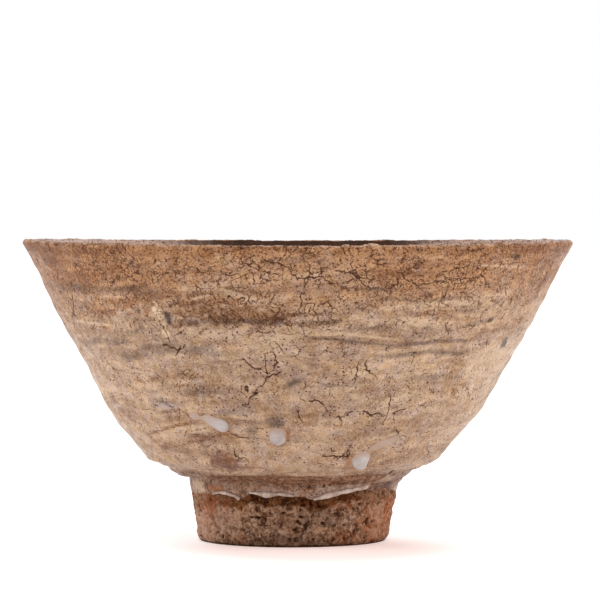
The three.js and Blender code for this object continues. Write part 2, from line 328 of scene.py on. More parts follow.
class Finish:
    """A fired surface, built up from layers of colour. Its sizes are in millimetres."""

    def __init__(self, name, **sockets):
        self.material = bpy.data.materials.new(name)
        self.material.use_nodes = True
        self.tree = self.material.node_tree
        self.shader = self.tree.nodes["Principled BSDF"]
        for socket, value in sockets.items():
            self.shader.inputs[socket.replace("_", " ")].default_value = value
        place = self.add("TexCoord").outputs["Object"]
        self.place = self.add("VectorMath", {0: place, "Scale": 1 / MM}, operation="SCALE").outputs[0]
        self.tone = None

    def add(self, kind, inputs=None, **settings):
        return add_node(self.tree, kind, inputs, **settings)

    def painted(self, name):
        """The share of a mark that the mesh carries."""
        return self.add("Attribute", attribute_name=name).outputs["Fac"]

    def scaled(self, size, stretch=(1, 1, 1)):
        shares = tuple(1 / (size * share) for share in stretch)
        return self.add("VectorMath", {0: self.place, 1: shares}, operation="MULTIPLY").outputs[0]

    def times(self, first, second):
        return self.add("Math", {0: first, 1: second}, operation="MULTIPLY").outputs[0]

    def plus(self, value, other, share):
        """A value with a share of another added."""
        return self.add("Math", {0: other, 1: share, 2: value}, operation="MULTIPLY_ADD").outputs[0]

    def band(self, value, none, full, most=1):
        """Share that grows from 0 to most as the value goes from none to full."""
        inputs = {"Value": value, "From Min": none, "From Max": full, "To Max": most}
        return self.add("MapRange", inputs, interpolation_type="SMOOTHSTEP").outputs[0]

    def clouds(self, size, detail=2, stretch=(1, 1, 1), rough=0.5):
        """A soft random value about 0.5, with blotches of a size and, where rough, strong finer ones."""
        inputs = {"Vector": self.scaled(size, stretch), "Scale": 1, "Detail": detail, "Roughness": rough}
        return self.add("TexNoise", inputs).outputs[0]

    def blotches(self, size, none, full, most=1, **grain):
        """Share of the surface that lies in clouds of a size."""
        return self.band(self.clouds(size, **grain), none, full, most)

    def broken(self, name, *blotches, **grain):
        """A painted mark, broken up into blotches."""
        return self.times(self.painted(name), self.blotches(*blotches, **grain))

    def specks(self, size, radius, kept):
        """Small dots, one to a cell of a size, in a share of the cells."""
        cells = self.add("TexVoronoi", {"Vector": self.scaled(size), "Scale": 1})
        chance = self.add("SeparateColor", {0: cells.outputs["Color"]}).outputs[0]
        chosen = self.band(chance, 1 - kept, 1 - 0.6 * kept)
        return self.times(self.band(cells.outputs["Distance"], radius / size, 0.5 * radius / size), chosen)

    def crackle(self, size, width, stray):
        """Thin lines between cells of a size, that stray from straight."""
        inputs = {"Vector": self.scaled(size / 2), "Scale": 1, "Detail": 2}
        drift = self.add("TexNoise", inputs).outputs["Color"]
        shift = self.add("VectorMath", {0: drift, "Scale": stray}, operation="SCALE").outputs[0]
        moved = self.add("VectorMath", {0: self.scaled(size), 1: shift}, operation="ADD").outputs[0]
        cells = self.add("TexVoronoi", {"Vector": moved, "Scale": 1}, feature="DISTANCE_TO_EDGE")
        return self.band(cells.outputs["Distance"], width / size, 0.3 * width / size)

    def mix(self, share, under, over):
        """One colour over another, each in steps of 255 or from a node."""
        colours = {
            socket: colour if isinstance(colour, bpy.types.NodeSocket) else paint(*colour)
            for socket, colour in ((6, under), (7, over))
        }
        return self.add("Mix", {0: share, **colours}, data_type="RGBA").outputs[2]

    def ground(self, share, low, high):
        """Starts the tone, from a low colour to a high one."""
        self.tone = self.mix(share, low, high)

    def lay(self, share, colour):
        """Lays a colour over the tone."""
        self.tone = self.mix(share, self.tone, colour)

    def dim(self, share, shade):
        """Dims the tone by a shade of red, green and blue."""
        inputs = {0: share, 6: self.tone, 7: (*shade, 1)}
        self.tone = self.add("Mix", inputs, data_type="RGBA", blend_type="MULTIPLY").outputs[2]

    def bump(self, height, depth, under=None):
        inputs = {"Height": height, "Distance": depth * MM}
        if under is not None:
            inputs["Normal"] = under
        return self.add("Bump", inputs).outputs[0]

    def coat(self, piece, **links):
        """Puts the finish on a piece, with its tone and what else is linked to the shader."""
        if self.tone is not None:
            links["Base_Color"] = self.tone
        for socket, value in links.items():
            self.tree.links.new(value, self.shader.inputs[socket.replace("_", " ")])
        piece.data.materials.append(self.material)


BOWL_COLUMNS = 240
TRIM_SPIRAL = (0.16, 1.7)  # height and pitch of the tool's spiral inside the foot


def turns_round(columns):
    return np.arange(columns) * 2 * math.pi / columns


bowl_turns = turns_round(BOWL_COLUMNS)
seat_radius = np.concatenate([np.arange(0, HOLLOW_TOP + 2, 0.4), [FOOT_TOP - 1]])[:, None]
seat_height = FOOT_HEIGHT - NUB[1] * (1 - fade(seat_radius, 0.5, NUB[0]))
tool_turn = 2 * math.pi * seat_radius / TRIM_SPIRAL[1] - bowl_turns
tool_spiral = TRIM_SPIRAL[0] * np.cos(tool_turn) * fade(seat_radius, 0, 3)
seat = settled(bowl_turns, seat_radius, seat_height + tool_spiral)
seat[..., 2] += 0.12 * lumps(seat, 2.4) + 0.06 * lumps(seat, 0.8)
bowl_along = np.concatenate([
    np.linspace(along_at(FOOT_HEIGHT + 1), lip_start, 60),
    np.linspace(lip_start, lip_end, 8)[1:],
    np.linspace(lip_end, section.length, 70)[1:],
])[:, None]
bowl_off = relief(bowl_turns, bowl_along) - UNDER_GLAZE
bowl_rings = np.concatenate([seat, settled(bowl_turns, *section.at(bowl_along, bowl_off))])
thrown_bowl = turned("thrown_bowl", bowl_rings, poles=(0, len(bowl_rings) - 1), shown=len(seat))

raw_clay = Finish("raw_clay", Roughness=0.92, Specular_IOR_Level=0.12)
raw_clay.ground(raw_clay.blotches(7, 0.35, 0.65, detail=3), (150, 106, 78), (118, 88, 68))
raw_clay.lay(raw_clay.blotches(0.9, 0.55, 0.7, 0.6, detail=3), (176, 136, 104))
raw_clay.lay(raw_clay.specks(1.6, 0.45, 0.4), (62, 42, 32))
raw_clay.coat(thrown_bowl, Normal=raw_clay.bump(raw_clay.clouds(0.6, 3), 0.25))
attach(thrown_bowl, "root")
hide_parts("clay_bowl")

# Foot ring
# The same coarse clay, cut to a tall ring with a knife-turned side and left bare, so the kiln scorched it
# rust and grey. It is one with the bowl above, and its worn toe stands on the table.
FOOT_BOTTOM = 26.4  # radius just above the toe
TOE = (1.2, 1.7)  # width and height of the worn edge
HOLLOW_BOTTOM = 20.5
FOOT_COLUMNS = 720
# Hem of the glaze round the foot, as turns and heights
HEM = [
    (-170, 13.4), (-140, 12.4), (-110, 13.6), (-80, 13), (-64, 13.2), (-50, 13.4), (-45, 14), (-38, 13.9),
    (-33, 13.3), (-30, 12.6), (-27, 13.7), (-24, 14.4), (-19.5, 14.2), (-14.5, 13.7), (-6.8, 14.2),
    (1, 13.8), (6, 13.6), (11, 12.8), (16, 13.2), (22, 14), (30, 14.7), (38, 15.3), (44, 15.5), (48, 14.6),
    (60, 14.9), (80, 13.6), (105, 14.2), (130, 12.6), (155, 13.8),
]
# Lumps of clay left on the side: turn, height, half width, half height, and how far they stand out
FOOT_LUMPS = [
    (-46, 7.3, 4, 3.6, 0.5), (-10, 3, 5, 2.4, 0.6), (14, 5, 3, 2.5, 0.35), (-24, 10, 3, 2, 0.3),
    (33, 8, 5, 3, 0.3), (120, 6, 6, 4, 0.5), (-130, 8, 5, 4, 0.5), (175, 4, 6, 2.5, 0.5),
]
DRAG_DEPTH = 0.7
GRIT_DEPTH = 0.35  # of the small holes that grit left all over
COVERED_DEPTH = 0.25  # how far the side lies back where the glaze covers it
# Cracks that the knife dragged open, and pits where grit fell out: turn, height, half width, half height
FOOT_DRAGS = [
    (-20.5, 8, 2.6, 0.26), (-15, 5.8, 1.5, 0.24), (5, 8, 0.7, 0.5), (3.5, 6.6, 0.5, 0.8),
    (-29, 12.4, 0.7, 0.4), (6, 11.4, 1, 0.5), (49, 6.2, 0.6, 1.3), (-5, 9.3, 0.8, 0.3), (18, 6.5, 0.6, 0.4),
    (12, 2.2, 0.8, 0.4), (30, 10, 0.5, 0.4), (100, 7, 3, 0.3), (150, 9, 2, 0.4), (-100, 5, 3, 0.3),
    (-155, 7, 2, 0.4),
]


def hem_height(turn):
    """Height of the glaze's lower edge."""
    degrees = np.arange(-180, 180)
    rounded = smoothed(np.interp(degrees, *np.array(HEM).T, period=360), 7, {"mode": "wrap"})
    return np.interp(np.degrees(turn), degrees, rounded, period=360)


def from_front(turn):
    """A turn, counted from the front to half a turn on either side."""
    return (turn + math.pi) % (2 * math.pi) - math.pi


def nearness(turn, height, radius, spots, ragged):
    """Share by how near each place is to a spot, up to that spot's own strength.

    A spot is its turn, height, half width, half height and strength. Ragged moves the spots' edges.
    """
    total = np.zeros(np.broadcast(turn, height).shape)
    for spot_turn, spot_height, half_width, half_height, strength in spots:
        apart = from_front(turn - math.radians(spot_turn))
        away = np.hypot(apart * radius / half_width, (height - spot_height) / half_height)
        total = np.maximum(total, strength * fade(away + ragged, 1.25, 0.45))
    return total


foot_line = Outline(softened([
    (FOOT_BOTTOM - TOE[0], 0), (FOOT_BOTTOM - 0.1, TOE[1] * 0.8), (FOOT_BOTTOM, 4),
    (FOOT_TOP - FOOT_FLARE, 12), (FOOT_TOP, FOOT_HEIGHT),
], 0.7))
hollow_line = Outline([
    (FOOT_TOP, FOOT_HEIGHT), (HOLLOW_TOP, FOOT_HEIGHT), (HOLLOW_BOTTOM - 0.3, 2.4), (HOLLOW_BOTTOM, TOE[1]),
    (HOLLOW_BOTTOM + TOE[0], 0), (FOOT_BOTTOM - TOE[0], 0),
])
foot_turns = turns_round(FOOT_COLUMNS)
side_along = np.linspace(0, foot_line.length, 64)[:, None]
side_radius, side_height = foot_line.at(side_along)
side_place = settled(foot_turns, side_radius, side_height)
on_foot = (foot_turns, side_height, side_radius)
below_hem = hem_height(foot_turns) - side_height
bare = fade(below_hem, -0.6, 1)
standing = fade(side_height, 0, 1.2)
drags = nearness(*on_foot, [(*drag, 1) for drag in FOOT_DRAGS], 0.9 * lumps(side_place, 0.7))
blocky = lumps(side_place, 3.4, 2.2)
gritty = lumps(side_place, 1.3, 6.4)
torn = lumps(side_place * (0.35, 0.35, 1), 0.8, 1.9)
grit_loss = fade(0.6 * gritty + lumps(side_place, 0.6, 5.1), -0.55, -0.9)
side_off = 0.3 * lumps(side_place, 8) + 0.3 * blocky + 0.22 * gritty + 0.22 * torn
side_off += 0.08 * lumps(side_place, 0.55, 3.8) - GRIT_DEPTH * grit_loss - DRAG_DEPTH * drags
side_off += nearness(*on_foot, FOOT_LUMPS, 0.3 * lumps(side_place, 2.5))
side_off = bare * standing * side_off - COVERED_DEPTH * (1 - bare)
side_off += standing * foot_swell(foot_turns, side_height)
side = settled(foot_turns, *foot_line.at(side_along, side_off))
hollow_along = np.concatenate([[3, 7, 9], np.linspace(9.5, hollow_line.length - 0.1, 44)])[:, None]
hollow_radius, hollow_height = hollow_line.at(hollow_along)
hollow_place = settled(foot_turns, hollow_radius, hollow_height)
hollow_off = 0.3 * lumps(hollow_place, 6) + 0.12 * lumps(hollow_place, 1.4)
hollow_off -= 0.3 * fade(lumps(hollow_place, 1.6, 4), 0.4, 0.8)
hollow_off *= fade(hollow_height, 0, 1.2) * fade(hollow_height, FOOT_HEIGHT, FOOT_HEIGHT - 1)
hollow = settled(foot_turns, *hollow_line.at(hollow_along, hollow_off))
foot_rings = np.concatenate([side, hollow])
foot_rings[..., 2] = np.maximum(foot_rings[..., 2], 0)

# Kiln colours on the side: turn, height, half width, half height, strength
RUST = [
    (-56, 9.5, 4.5, 4, 1), (-40, 11.5, 4, 1.6, 0.5), (32, 2.2, 8, 1.8, 0.8), (58, 6, 8, 8, 0.7),
    (74, 8, 7, 9, 1), (-70, 4, 6, 4, 0.6), (30, 11.5, 8, 2, 0.55), (-33, 2, 3, 1.2, 0.4),
    (100, 9, 9, 4, 0.8), (140, 4, 8, 3, 0.8), (-100, 10, 8, 4, 0.8), (-140, 5, 9, 4, 0.7),
    (180, 8, 9, 3, 0.7),
]
ASHEN = [
    (-12, 4, 9, 4, 0.8), (12, 8.5, 8, 3.5, 0.9), (-46, 6.5, 4, 3, 0.7), (32, 7.5, 5, 2.5, 0.5),
    (110, 5, 8, 4, 0.8), (-120, 8, 8, 4, 0.8), (160, 10, 8, 3, 0.7),
]
PALE = [
    (-74, 4.5, 8, 5, 0.9), (-47, 7, 2.6, 3.6, 0.8), (-60, 1.5, 5, 1.2, 0.6), (-36, 6, 2, 5, 0.5),
    (58, 9, 3, 1.6, 0.4), (80, 3, 5, 2, 0.3), (130, 7, 5, 4, 0.8), (-140, 9, 6, 3, 0.8),
]
to_front = np.cos(foot_turns)
band_height = 2.8 + 0.8 * lumps(side_place, 6, 8.1) + 0.3 * lumps(side_place, 1.5, 8.1)
burnt = fade(below_hem, -0.8, 0.1) * fade(below_hem, band_height + 0.4, band_height - 0.4)
burnt *= 0.2 + 0.35 * fade(to_front, 0.3, 0.65) + 0.45 * fade(to_front, 0.62, 0.88)
uneven_edge = 0.7 * lumps(side_place, 2.4, 9.3)
side_marks = {
    # tone follows the same lumps as the side's relief, so raised clay is lighter and hollows darker: random
    # grain with painted shade in the hollows
    "tone": 0.4 * blocky + 0.3 * gritty + 0.3 * torn + 0.25 * lumps(side_place, 0.6, 4.4),
    "rust": nearness(*on_foot, RUST, uneven_edge),
    "ashen": nearness(*on_foot, ASHEN, uneven_edge),
    "pale": nearness(*on_foot, PALE, uneven_edge),
    "burnt": burnt,
    # painted shade in the knife drags and grit pits, the same recesses that the side is cut in by
    "painted_pit_shade": np.maximum(drags, 0.7 * grit_loss) * bare,
    "torn_open": 0.25 + 0.75 * fade(np.abs(to_front), 0.6, 0.88),
    # a painted contact shadow along the bottom edge, and painted shade low on the front of the foot
    "painted_toe_shadow": 0.4 * fade(side_height, 5, 1.5) * to_front**2 + fade(side_height, 0.8, 0.1),
}
unmarked = np.zeros(hollow.shape[:2])
foot_marks = {
    name: np.concatenate([np.broadcast_to(values, bare.shape), unmarked])
    for name, values in side_marks.items()
}
bare_foot = turned("bare_foot", foot_rings, foot_marks, hard=(len(side) - 1,), shown=len(side), strips=3)

scorched = Finish("scorched_clay", Roughness=0.88, Specular_IOR_Level=0.04)
# the clay's grain, lighter on raised clay and darker in its hollows as painted shade
grain_and_hollow_shade = scorched.plus(scorched.painted("tone"), scorched.clouds(0.9, rough=0.7), 1.9)
scorched.ground(scorched.band(grain_and_hollow_shade, 0.3, 1.5), (86, 53, 33), (176, 136, 108))
scorched.lay(scorched.broken("rust", 2.2, 0.25, 0.6, 0.85, detail=4, rough=0.65), (156, 90, 56))
scorched.lay(scorched.broken("pale", 1.2, 0.3, 0.6, 0.85, detail=4, rough=0.7), (206, 170, 148))
scorched.lay(scorched.broken("ashen", 1.6, 0.35, 0.62, 0.6, detail=4, rough=0.65), (124, 102, 90))
scorched.lay(scorched.blotches(1.2, 0.53, 0.64, 0.75, rough=0.7), (184, 152, 130))
scorched.dim(scorched.broken("torn_open", 1, 0.46, 0.33, 0.9, rough=0.7), (0.36, 0.25, 0.16))
# painted shade of crevices: thin dark lines between cells, where the mesh has no crevices
crevice_shade_places = scorched.broken("torn_open", 4, 0.48, 0.62, 0.8, detail=3)
scorched.dim(scorched.times(scorched.crackle(4, 0.5, 0.9), crevice_shade_places), (0.3, 0.2, 0.12))
scorched.dim(scorched.broken("burnt", 1, 0.2, 0.55, 0.95, detail=4, rough=0.7), (0.36, 0.2, 0.07))
# painted shade in the drags and pits
scorched.dim(scorched.band(scorched.painted("painted_pit_shade"), 0.1, 0.9), (0.26, 0.17, 0.1))
# painted contact shadow at the toe, with painted shade low on the front
scorched.dim(scorched.painted("painted_toe_shadow"), (0.25, 0.2, 0.16))
scorched.coat(bare_foot, Normal=scorched.bump(scorched.clouds(0.8, 3), 0.3))
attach(bare_foot, "root")
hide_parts("foot_ring")

# Outer glaze
# A thin feldspar glaze over the whole outside, fired buff and orange with smoky streaks in the throwing
# marks. It shrank more than the clay, so it is crazed all over, and it ends in a wandering hem on the foot.
GLAZE_COLUMNS = 1440
GLAZE_RINGS = 300
HIDDEN_RINGS = 36  # on the back of the glaze, closest together where it turns on to the foot
LIP_BAND = 2  # wall on each side of the lip's edge that belongs to the lip
HEM_ROUND = 2.6  # length over which the glaze rounds down to the clay
HEM_DEPTH = 1.2 * FOOT_COAT  # so its edge lies just in the foot's face


def both_faces(shown, hidden, crowding=1):
    """How far along a coat each ring lies, up its face and back under it, and which rings are under it."""
    share = np.concatenate([np.linspace(0, 1, shown), np.linspace(1, 0, hidden) ** crowding])
    return share[:, None], (np.arange(shown + hidden) >= shown)[:, None]


glaze_turns = turns_round(GLAZE_COLUMNS)
up_share, glaze_hidden = both_faces(GLAZE_RINGS, HIDDEN_RINGS, crowding=2)
hem_along = along_at(hem_height(glaze_turns))
glaze_turn = np.repeat(glaze_turns[None], len(up_share), axis=0)
glaze_along = hem_along + up_share * (lip_start - LIP_BAND - hem_along)
random = np.random.default_rng(29)

# Cracks that show most on the front, as turns and heights of their kinks
PLACED_CRACKS = [
    [(-13.4, 52), (-11.1, 49.1), (-8.4, 48.3), (-6.9, 48)], [(-8.1, 53.2), (-7.8, 49), (-7.7, 48.1)],
    [(-5.4, 53.6), (-4.8, 50.8), (-6.1, 48.5)], [(-4.3, 47.8), (-7.8, 46.8), (-8.1, 45.3), (-11, 43.4)],
    [(-10.9, 42.5), (-12.6, 41.5), (-13.2, 39.8), (-15.6, 39.6)],
    [(27.3, 41.6), (28, 38.5), (28, 34.1)], [(20.1, 38), (23, 36.6), (25.3, 37), (27.6, 36.3)],
    [(33.1, 38.2), (30.1, 37.1), (31.8, 35)], [(15.7, 50.8), (16, 48.2), (15.6, 45.2)],
    [(17.4, 50.7), (18.7, 48.5), (21.5, 46.8)], [(4.2, 40.7), (7.4, 40.2), (9.5, 38)],
    [(0.4, 38.2), (2.3, 35.1)], [(12.7, 36.7), (13.7, 35.7), (14.1, 34.1)], [(15.2, 36.9), (17, 38.1)],
    [(-19.9, 31.3), (-17.4, 30.3), (-14.6, 30.3)], [(-20.9, 27.2), (-21.5, 24.7), (-17.5, 25)],
    [(10.3, 25.4), (16.9, 25.3), (20.4, 25.1), (19.7, 27.1)], [(34.2, 32), (37.4, 30.3), (40.5, 29.9)],
    [(-29.5, 54.7), (-31.8, 52.3)], [(-33.4, 61.9), (-32.4, 58.7), (-31.9, 55.8)],
    [(-34.5, 55.3), (-30.4, 53.5), (-28, 54.9)], [(-11.2, 77), (-9.5, 75.7), (-5.9, 74), (-3.3, 73.7)],
    [(2.4, 73.1), (2.3, 76.6)], [(2.4, 73.1), (1.2, 70.5)],
    [(-6.6, 77.5), (-3.8, 76.6), (-1.5, 75.3), (-0.4, 72.9), (4.8, 73.4), (7.3, 71.6), (8.1, 71.9)],
    [(7.8, 74.8), (11.6, 74), (14.5, 72.7)], [(10.4, 75), (11.6, 74), (12.2, 75.7)],
    [(11.6, 74), (14.7, 70.7)], [(11.7, 73), (10.2, 71.4)], [(10.1, 79.2), (11.8, 78.3), (12.4, 77.3)],
    [(-17.2, 64.2), (-15.8, 63.1), (-16.1, 61.1)], [(-16, 74.5), (-14.8, 73.4), (-12, 73.9)],
    [(1, 69.2), (1, 67.2), (0.5, 63.9)], [(2.1, 66.8), (3.5, 66.5), (4, 63.9), (5.1, 61.9)],
    [(20.4, 70.4), (20.3, 68.7)], [(21.4, 73), (21.4, 71)],
    [(21.9, 74.2), (23.2, 72.6), (26.8, 70.9), (30, 71.9), (38.9, 72.5)],
    [(34.2, 69.5), (34.2, 67.8), (33.3, 67.6)], [(42.4, 73.7), (44.7, 71.1), (46.9, 69.7)],
    [(19.7, 28.1), (18.8, 26.3), (20, 25.3), (18.6, 24.2)], [(12.5, 28), (13.5, 26.5), (14.8, 26.7)],
    [(16, 24.4), (17.6, 25.6), (18.8, 26.3)],
]
RIM_CRACKS = 1050  # short cracks round the upper wall
WALL_CRACKS = 640  # and over the rest of it
STARS = 16  # places on the sides and the back that cracks spread from
CRACK_STEP = 0.1  # distance between the points that draw a crack
CRACK_WIDTH = 0.28  # of the cracks that show most, where they start
FINE_CRACKS = 60  # height that they are finer above
BESIDE = (0.9, 0.25)  # strength of the second line that widens them, below that height and above it
BRANCH = 0.75  # strength of the cracks that leave them
FORK = 0.5  # and of those that leave the short ones
RIM_HEIGHTS = (3, 20)  # how far below the lip the cracks round it start, and how far down they go on
WALL_HEIGHTS = (24, 66)  # lowest and highest of the others
STAR_HEIGHTS = (28, 72)  # and of the stars
CRACK_DEPTH = 0.14
SCAR_DEPTH = 0.2  # of the pinholes and of the sooty scar beside a chip
KINK_STEP = 0.8  # distance between the small kinks of a placed crack


def wandering(turn, along, heading, length):
    """A crack that strays from its heading, as turns and distances along the section."""
    kinks = [(turn, along)]
    while length > 0:
        step = random.uniform(0.5, 1.5)
        aim = heading + random.normal(0, 0.6)
        turn += step * math.cos(aim) / section.at(along)[0]
        along += step * math.sin(aim)
        kinks.append((turn, along))
        length -= step
    return kinks


def crack_reach(turn, along):
    """Distance from a crack's start to each of its kinks."""
    steps = np.hypot(np.diff(turn) * section.at(along[1:])[0], np.diff(along))
    return np.concatenate([[0], np.cumsum(steps)])


def drawn(kinks, strength):
    """Close points along a crack, each with its turn, its distance along the section and its strength."""
    turn, along = np.array(kinks).T
    reach = crack_reach(turn, along)
    spots = np.arange(0, reach[-1], CRACK_STEP)
    faint = 0.85 + 0.15 * np.sin(spots * random.uniform(1.5, 4) + random.uniform(0, 6))
    turn, along = np.interp(spots, reach, turn), np.interp(spots, reach, along)
    return np.stack([turn, along, strength * faint], axis=1)


def jagged(kinks):
    """A placed crack, with smaller kinks between its own."""
    turn, height = np.array(kinks).T
    turn, along = np.radians(turn), along_at(height)
    reach = crack_reach(turn, along)
    stops = np.linspace(0, reach[-1], 2 + round(reach[-1] / KINK_STEP))
    turn = np.interp(stops, reach, turn) + random.normal(0, 0.0035, len(stops))
    along = np.interp(stops, reach, along) + random.normal(0, 0.2, len(stops))
    return list(zip(turn, along))


cracks = []
for kinks in PLACED_CRACKS:
    path = jagged(kinks)
    cracks.append(drawn(path, 1))
    beside = [(turn, along + CRACK_WIDTH) for turn, along in path[: 1 + 2 * len(path) // 3]]
    cracks.append(drawn(beside, BESIDE[0] if kinks[0][1] < FINE_CRACKS else BESIDE[1]))
    for spot in path[::3]:
        if random.random() < 0.6:
            cracks.append(drawn(wandering(*spot, random.uniform(0, 6.3), random.uniform(0.6, 2)), BRANCH))
for number in range(RIM_CRACKS + WALL_CRACKS):
    if number < RIM_CRACKS:
        height = HEIGHT - RIM_HEIGHTS[0] - RIM_HEIGHTS[1] * random.random() ** 1.5
    else:
        height = random.uniform(*WALL_HEIGHTS)
    level = random.choice([0, math.pi]) + random.normal(0, 0.35)
    heading = level if random.random() < 0.6 else random.uniform(0, 2 * math.pi)
    length = random.uniform(0.4, 2.4) if number % 5 else random.uniform(2, 5)
    spot = (random.uniform(-math.pi, math.pi), along_at(height))
    cracks.append(drawn(wandering(*spot, heading, length), random.uniform(0.45, 1)))
    if random.random() < 0.4:
        cracks.append(drawn(wandering(*spot, heading + random.choice([-1.2, 1.2]), length / 2), FORK))
for star in range(STARS):
    spot = (math.radians(random.uniform(55, 305)), along_at(random.uniform(*STAR_HEIGHTS)))
    for arm in range(random.integers(3, 6)):
        cracks.append(drawn(wandering(*spot, 1.3 * arm + random.uniform(0, 1), random.uniform(2, 7)), 1))


def cut(turn, along, lines):
    """Moves a grid's points on to the cracks, and gives each point's share of a crack."""
    count, columns = turn.shape
    samples = np.concatenate(lines)
    column = np.rint(samples[:, 0] / (2 * math.pi / columns)).astype(int)
    turns_over = column // columns
    column = column % columns
    first, last = along[0, column], along[-1, column]
    row = np.rint((samples[:, 1] - first) / (last - first) * (count - 1)).astype(int)
    on_grid = (row > 1) & (row < count - 2)
    samples, column, row, turns_over = (values[on_grid] for values in (samples, column, row, turns_over))
    spot_turn = samples[:, 0] - turns_over * 2 * math.pi
    apart = np.hypot((spot_turn - turn[row, column]) * RIM, samples[:, 1] - along[row, column])
    order = np.argsort(-apart)
    turn[row[order], column[order]] = spot_turn[order]
    along[row[order], column[order]] = samples[order, 1]
    share = np.zeros((count, columns))
    np.maximum.at(share, (row, column), samples[:, 2])
    return share


def other_diagonal(share):
    """Cells whose crack runs along the diagonal that a quad isn't split on."""
    right, above = np.roll(share, -1, axis=1), np.roll(share, -1, axis=0)
    return np.minimum(right, above) > np.minimum(share, np.roll(above, -1, axis=1))


cracked = np.zeros(glaze_turn.shape)
cracked[:GLAZE_RINGS] = cut(glaze_turn[:GLAZE_RINGS], glaze_along[:GLAZE_RINGS], cracks)
glaze_radius, glaze_height = section.at(glaze_along)
glaze_place = settled(glaze_turn, glaze_radius, glaze_height)
above_hem = np.clip((glaze_along - hem_along) / HEM_ROUND, 0, 1)
hem_drop = HEM_DEPTH * (1 - above_hem) ** 2

# Colours of the firing on the front, as spots: turn, height, half width, half height, strength
SCORCH = [(-48, 65, 13, 4.5, 0.8)]  # below the orange band
UMBER = [
    (-36, 68, 12, 3, 0.7), (-21, 65, 14, 4.6, 1), (-9, 62.6, 9, 2.6, 1), (-31, 30.5, 6, 1.6, 0.6),
    (-61, 74, 14, 4, 0.4), (-42, 63, 9, 3, 0.6), (24, 33, 7, 2, 0.35), (46, 49, 4, 2.4, 0.6),
    (-27, 44, 10, 2, 0.4), (47, 47.5, 4, 2, 0.6), (50.2, 41.6, 1.6, 1.4, 0.9),
]
ASH = [
    (-56, 53, 7, 4, 0.35), (50, 62, 16, 4, 0.4), (66, 50, 14, 9, 0.5), (72, 38, 16, 12, 0.45),
    (30, 41, 9, 3, 0.5), (-68, 45, 8, 5, 0.4), (10, 29, 12, 3, 0.4), (75, 62, 10, 6, 0.4),
    (56, 18, 5, 1.2, 0.6), (-45, 30, 7, 2, 0.6), (-36, 24, 3, 1.6, 0.7),
]
# And as level marks of the throwing: half height, strength, and the turns and heights that a mark follows
UMBER_MARKS = [
    (0.7, 0.7, [(27.5, 63.7), (42.9, 64)]), (0.5, 0.9, [(-56.8, 30.3), (-42.7, 33), (-33.1, 34.4)]),
    (0.9, 0.9, [(-52.2, 27.1), (-39.1, 28.8), (-26.5, 30.2)]),
    (0.5, 0.8, [(-44.3, 36.8), (-35.6, 38.1), (-32.5, 36.3)]),
    (0.8, 0.7, [(-1.7, 61.4), (10, 61.6)]), (0.8, 0.6, [(-42.4, 45.7), (-25.5, 47.2)]),
]
ASH_MARKS = [
    (1.6, 0.6, [(-25, 58), (-12, 57.6), (0, 57)]), (0.5, 0.9, [(4.7, 58.5), (11.5, 58.7), (21.4, 57.3)]),
    (0.5, 0.8, [(19, 53.4), (27.7, 53.8)]), (0.7, 0.8, [(18.7, 65.1), (30.6, 66.3), (41.9, 66.1)]),
    (1, 0.7, [(20.4, 62), (30.7, 61.6)]), (0.35, 0.8, [(40.9, 75.8), (55.2, 75)]),
    (0.35, 1, [(-62.8, 60.5), (-49.1, 60)]), (0.35, 0.8, [(-23.9, 67.4), (-19.5, 68.5)]),
    (0.8, 0.9, [(-15.8, 69.8), (-9.5, 67.3)]),
]
SMOKE_MARKS = [
    (0.5, 1, [(3.9, 57.6), (15.4, 56.3), (25.3, 55.1), (31.2, 55.8), (37, 56.2), (45.4, 55.8)]),
    (0.5, 0.9, [(22.8, 52.1), (30.9, 52.9), (34.5, 53.5), (46.8, 52.1)]),
    (0.5, 0.8, [(12.4, 70.4), (20.1, 70)]), (0.6, 0.8, [(21.7, 67.7), (27.9, 66.8)]),
    (0.5, 0.7, [(31.8, 67.3), (36.1, 67.5)]), (0.6, 0.9, [(5, 61.6), (9.5, 61.8)]),
    (0.7, 0.6, [(13.6, 60), (20.9, 59.7)]), (0.5, 0.6, [(32, 59.7), (38.6, 59.3)]),
    (0.6, 0.7, [(42.2, 59.8), (52.1, 61.9)]), (0.5, 0.7, [(8.1, 44.8), (15, 44.7)]),
    (0.8, 0.7, [(32.8, 46.2), (42.2, 46.5)]),
    (1.6, 0.95, [(-49.5, 51.6), (-40, 53.5), (-33.3, 54.4), (-26.4, 53.8), (-22, 54.4)]),
    (0.9, 0.7, [(-66.1, 69.2), (-34.2, 69.4)]), (0.8, 1, [(-27.6, 61.4), (-19.6, 62), (-2.6, 61.6)]),
    (1, 0.8, [(-68.4, 54.1), (-58.5, 55.6), (-47, 55.4)]), (0.9, 0.8, [(-45.6, 57.8), (-39.2, 59.3)]),
    (0.5, 0.5, [(-23.1, 69.2), (-5.5, 69.4)]), (0.9, 0.6, [(-23.8, 53.3), (-17, 53.1)]),
    (1.2, 0.8, [(-31.2, 42.3), (-23.8, 43.2)]), (0.6, 0.7, [(-14, 35.2), (-9.5, 35)]),
    (0.9, 0.9, [(-2.8, 44.5), (0.6, 46.1)]), (1.1, 0.8, [(-43.3, 39.5), (-36.7, 39.7)]),
    (0.8, 0.7, [(-21.2, 37.7), (-16.3, 37.7)]),
]
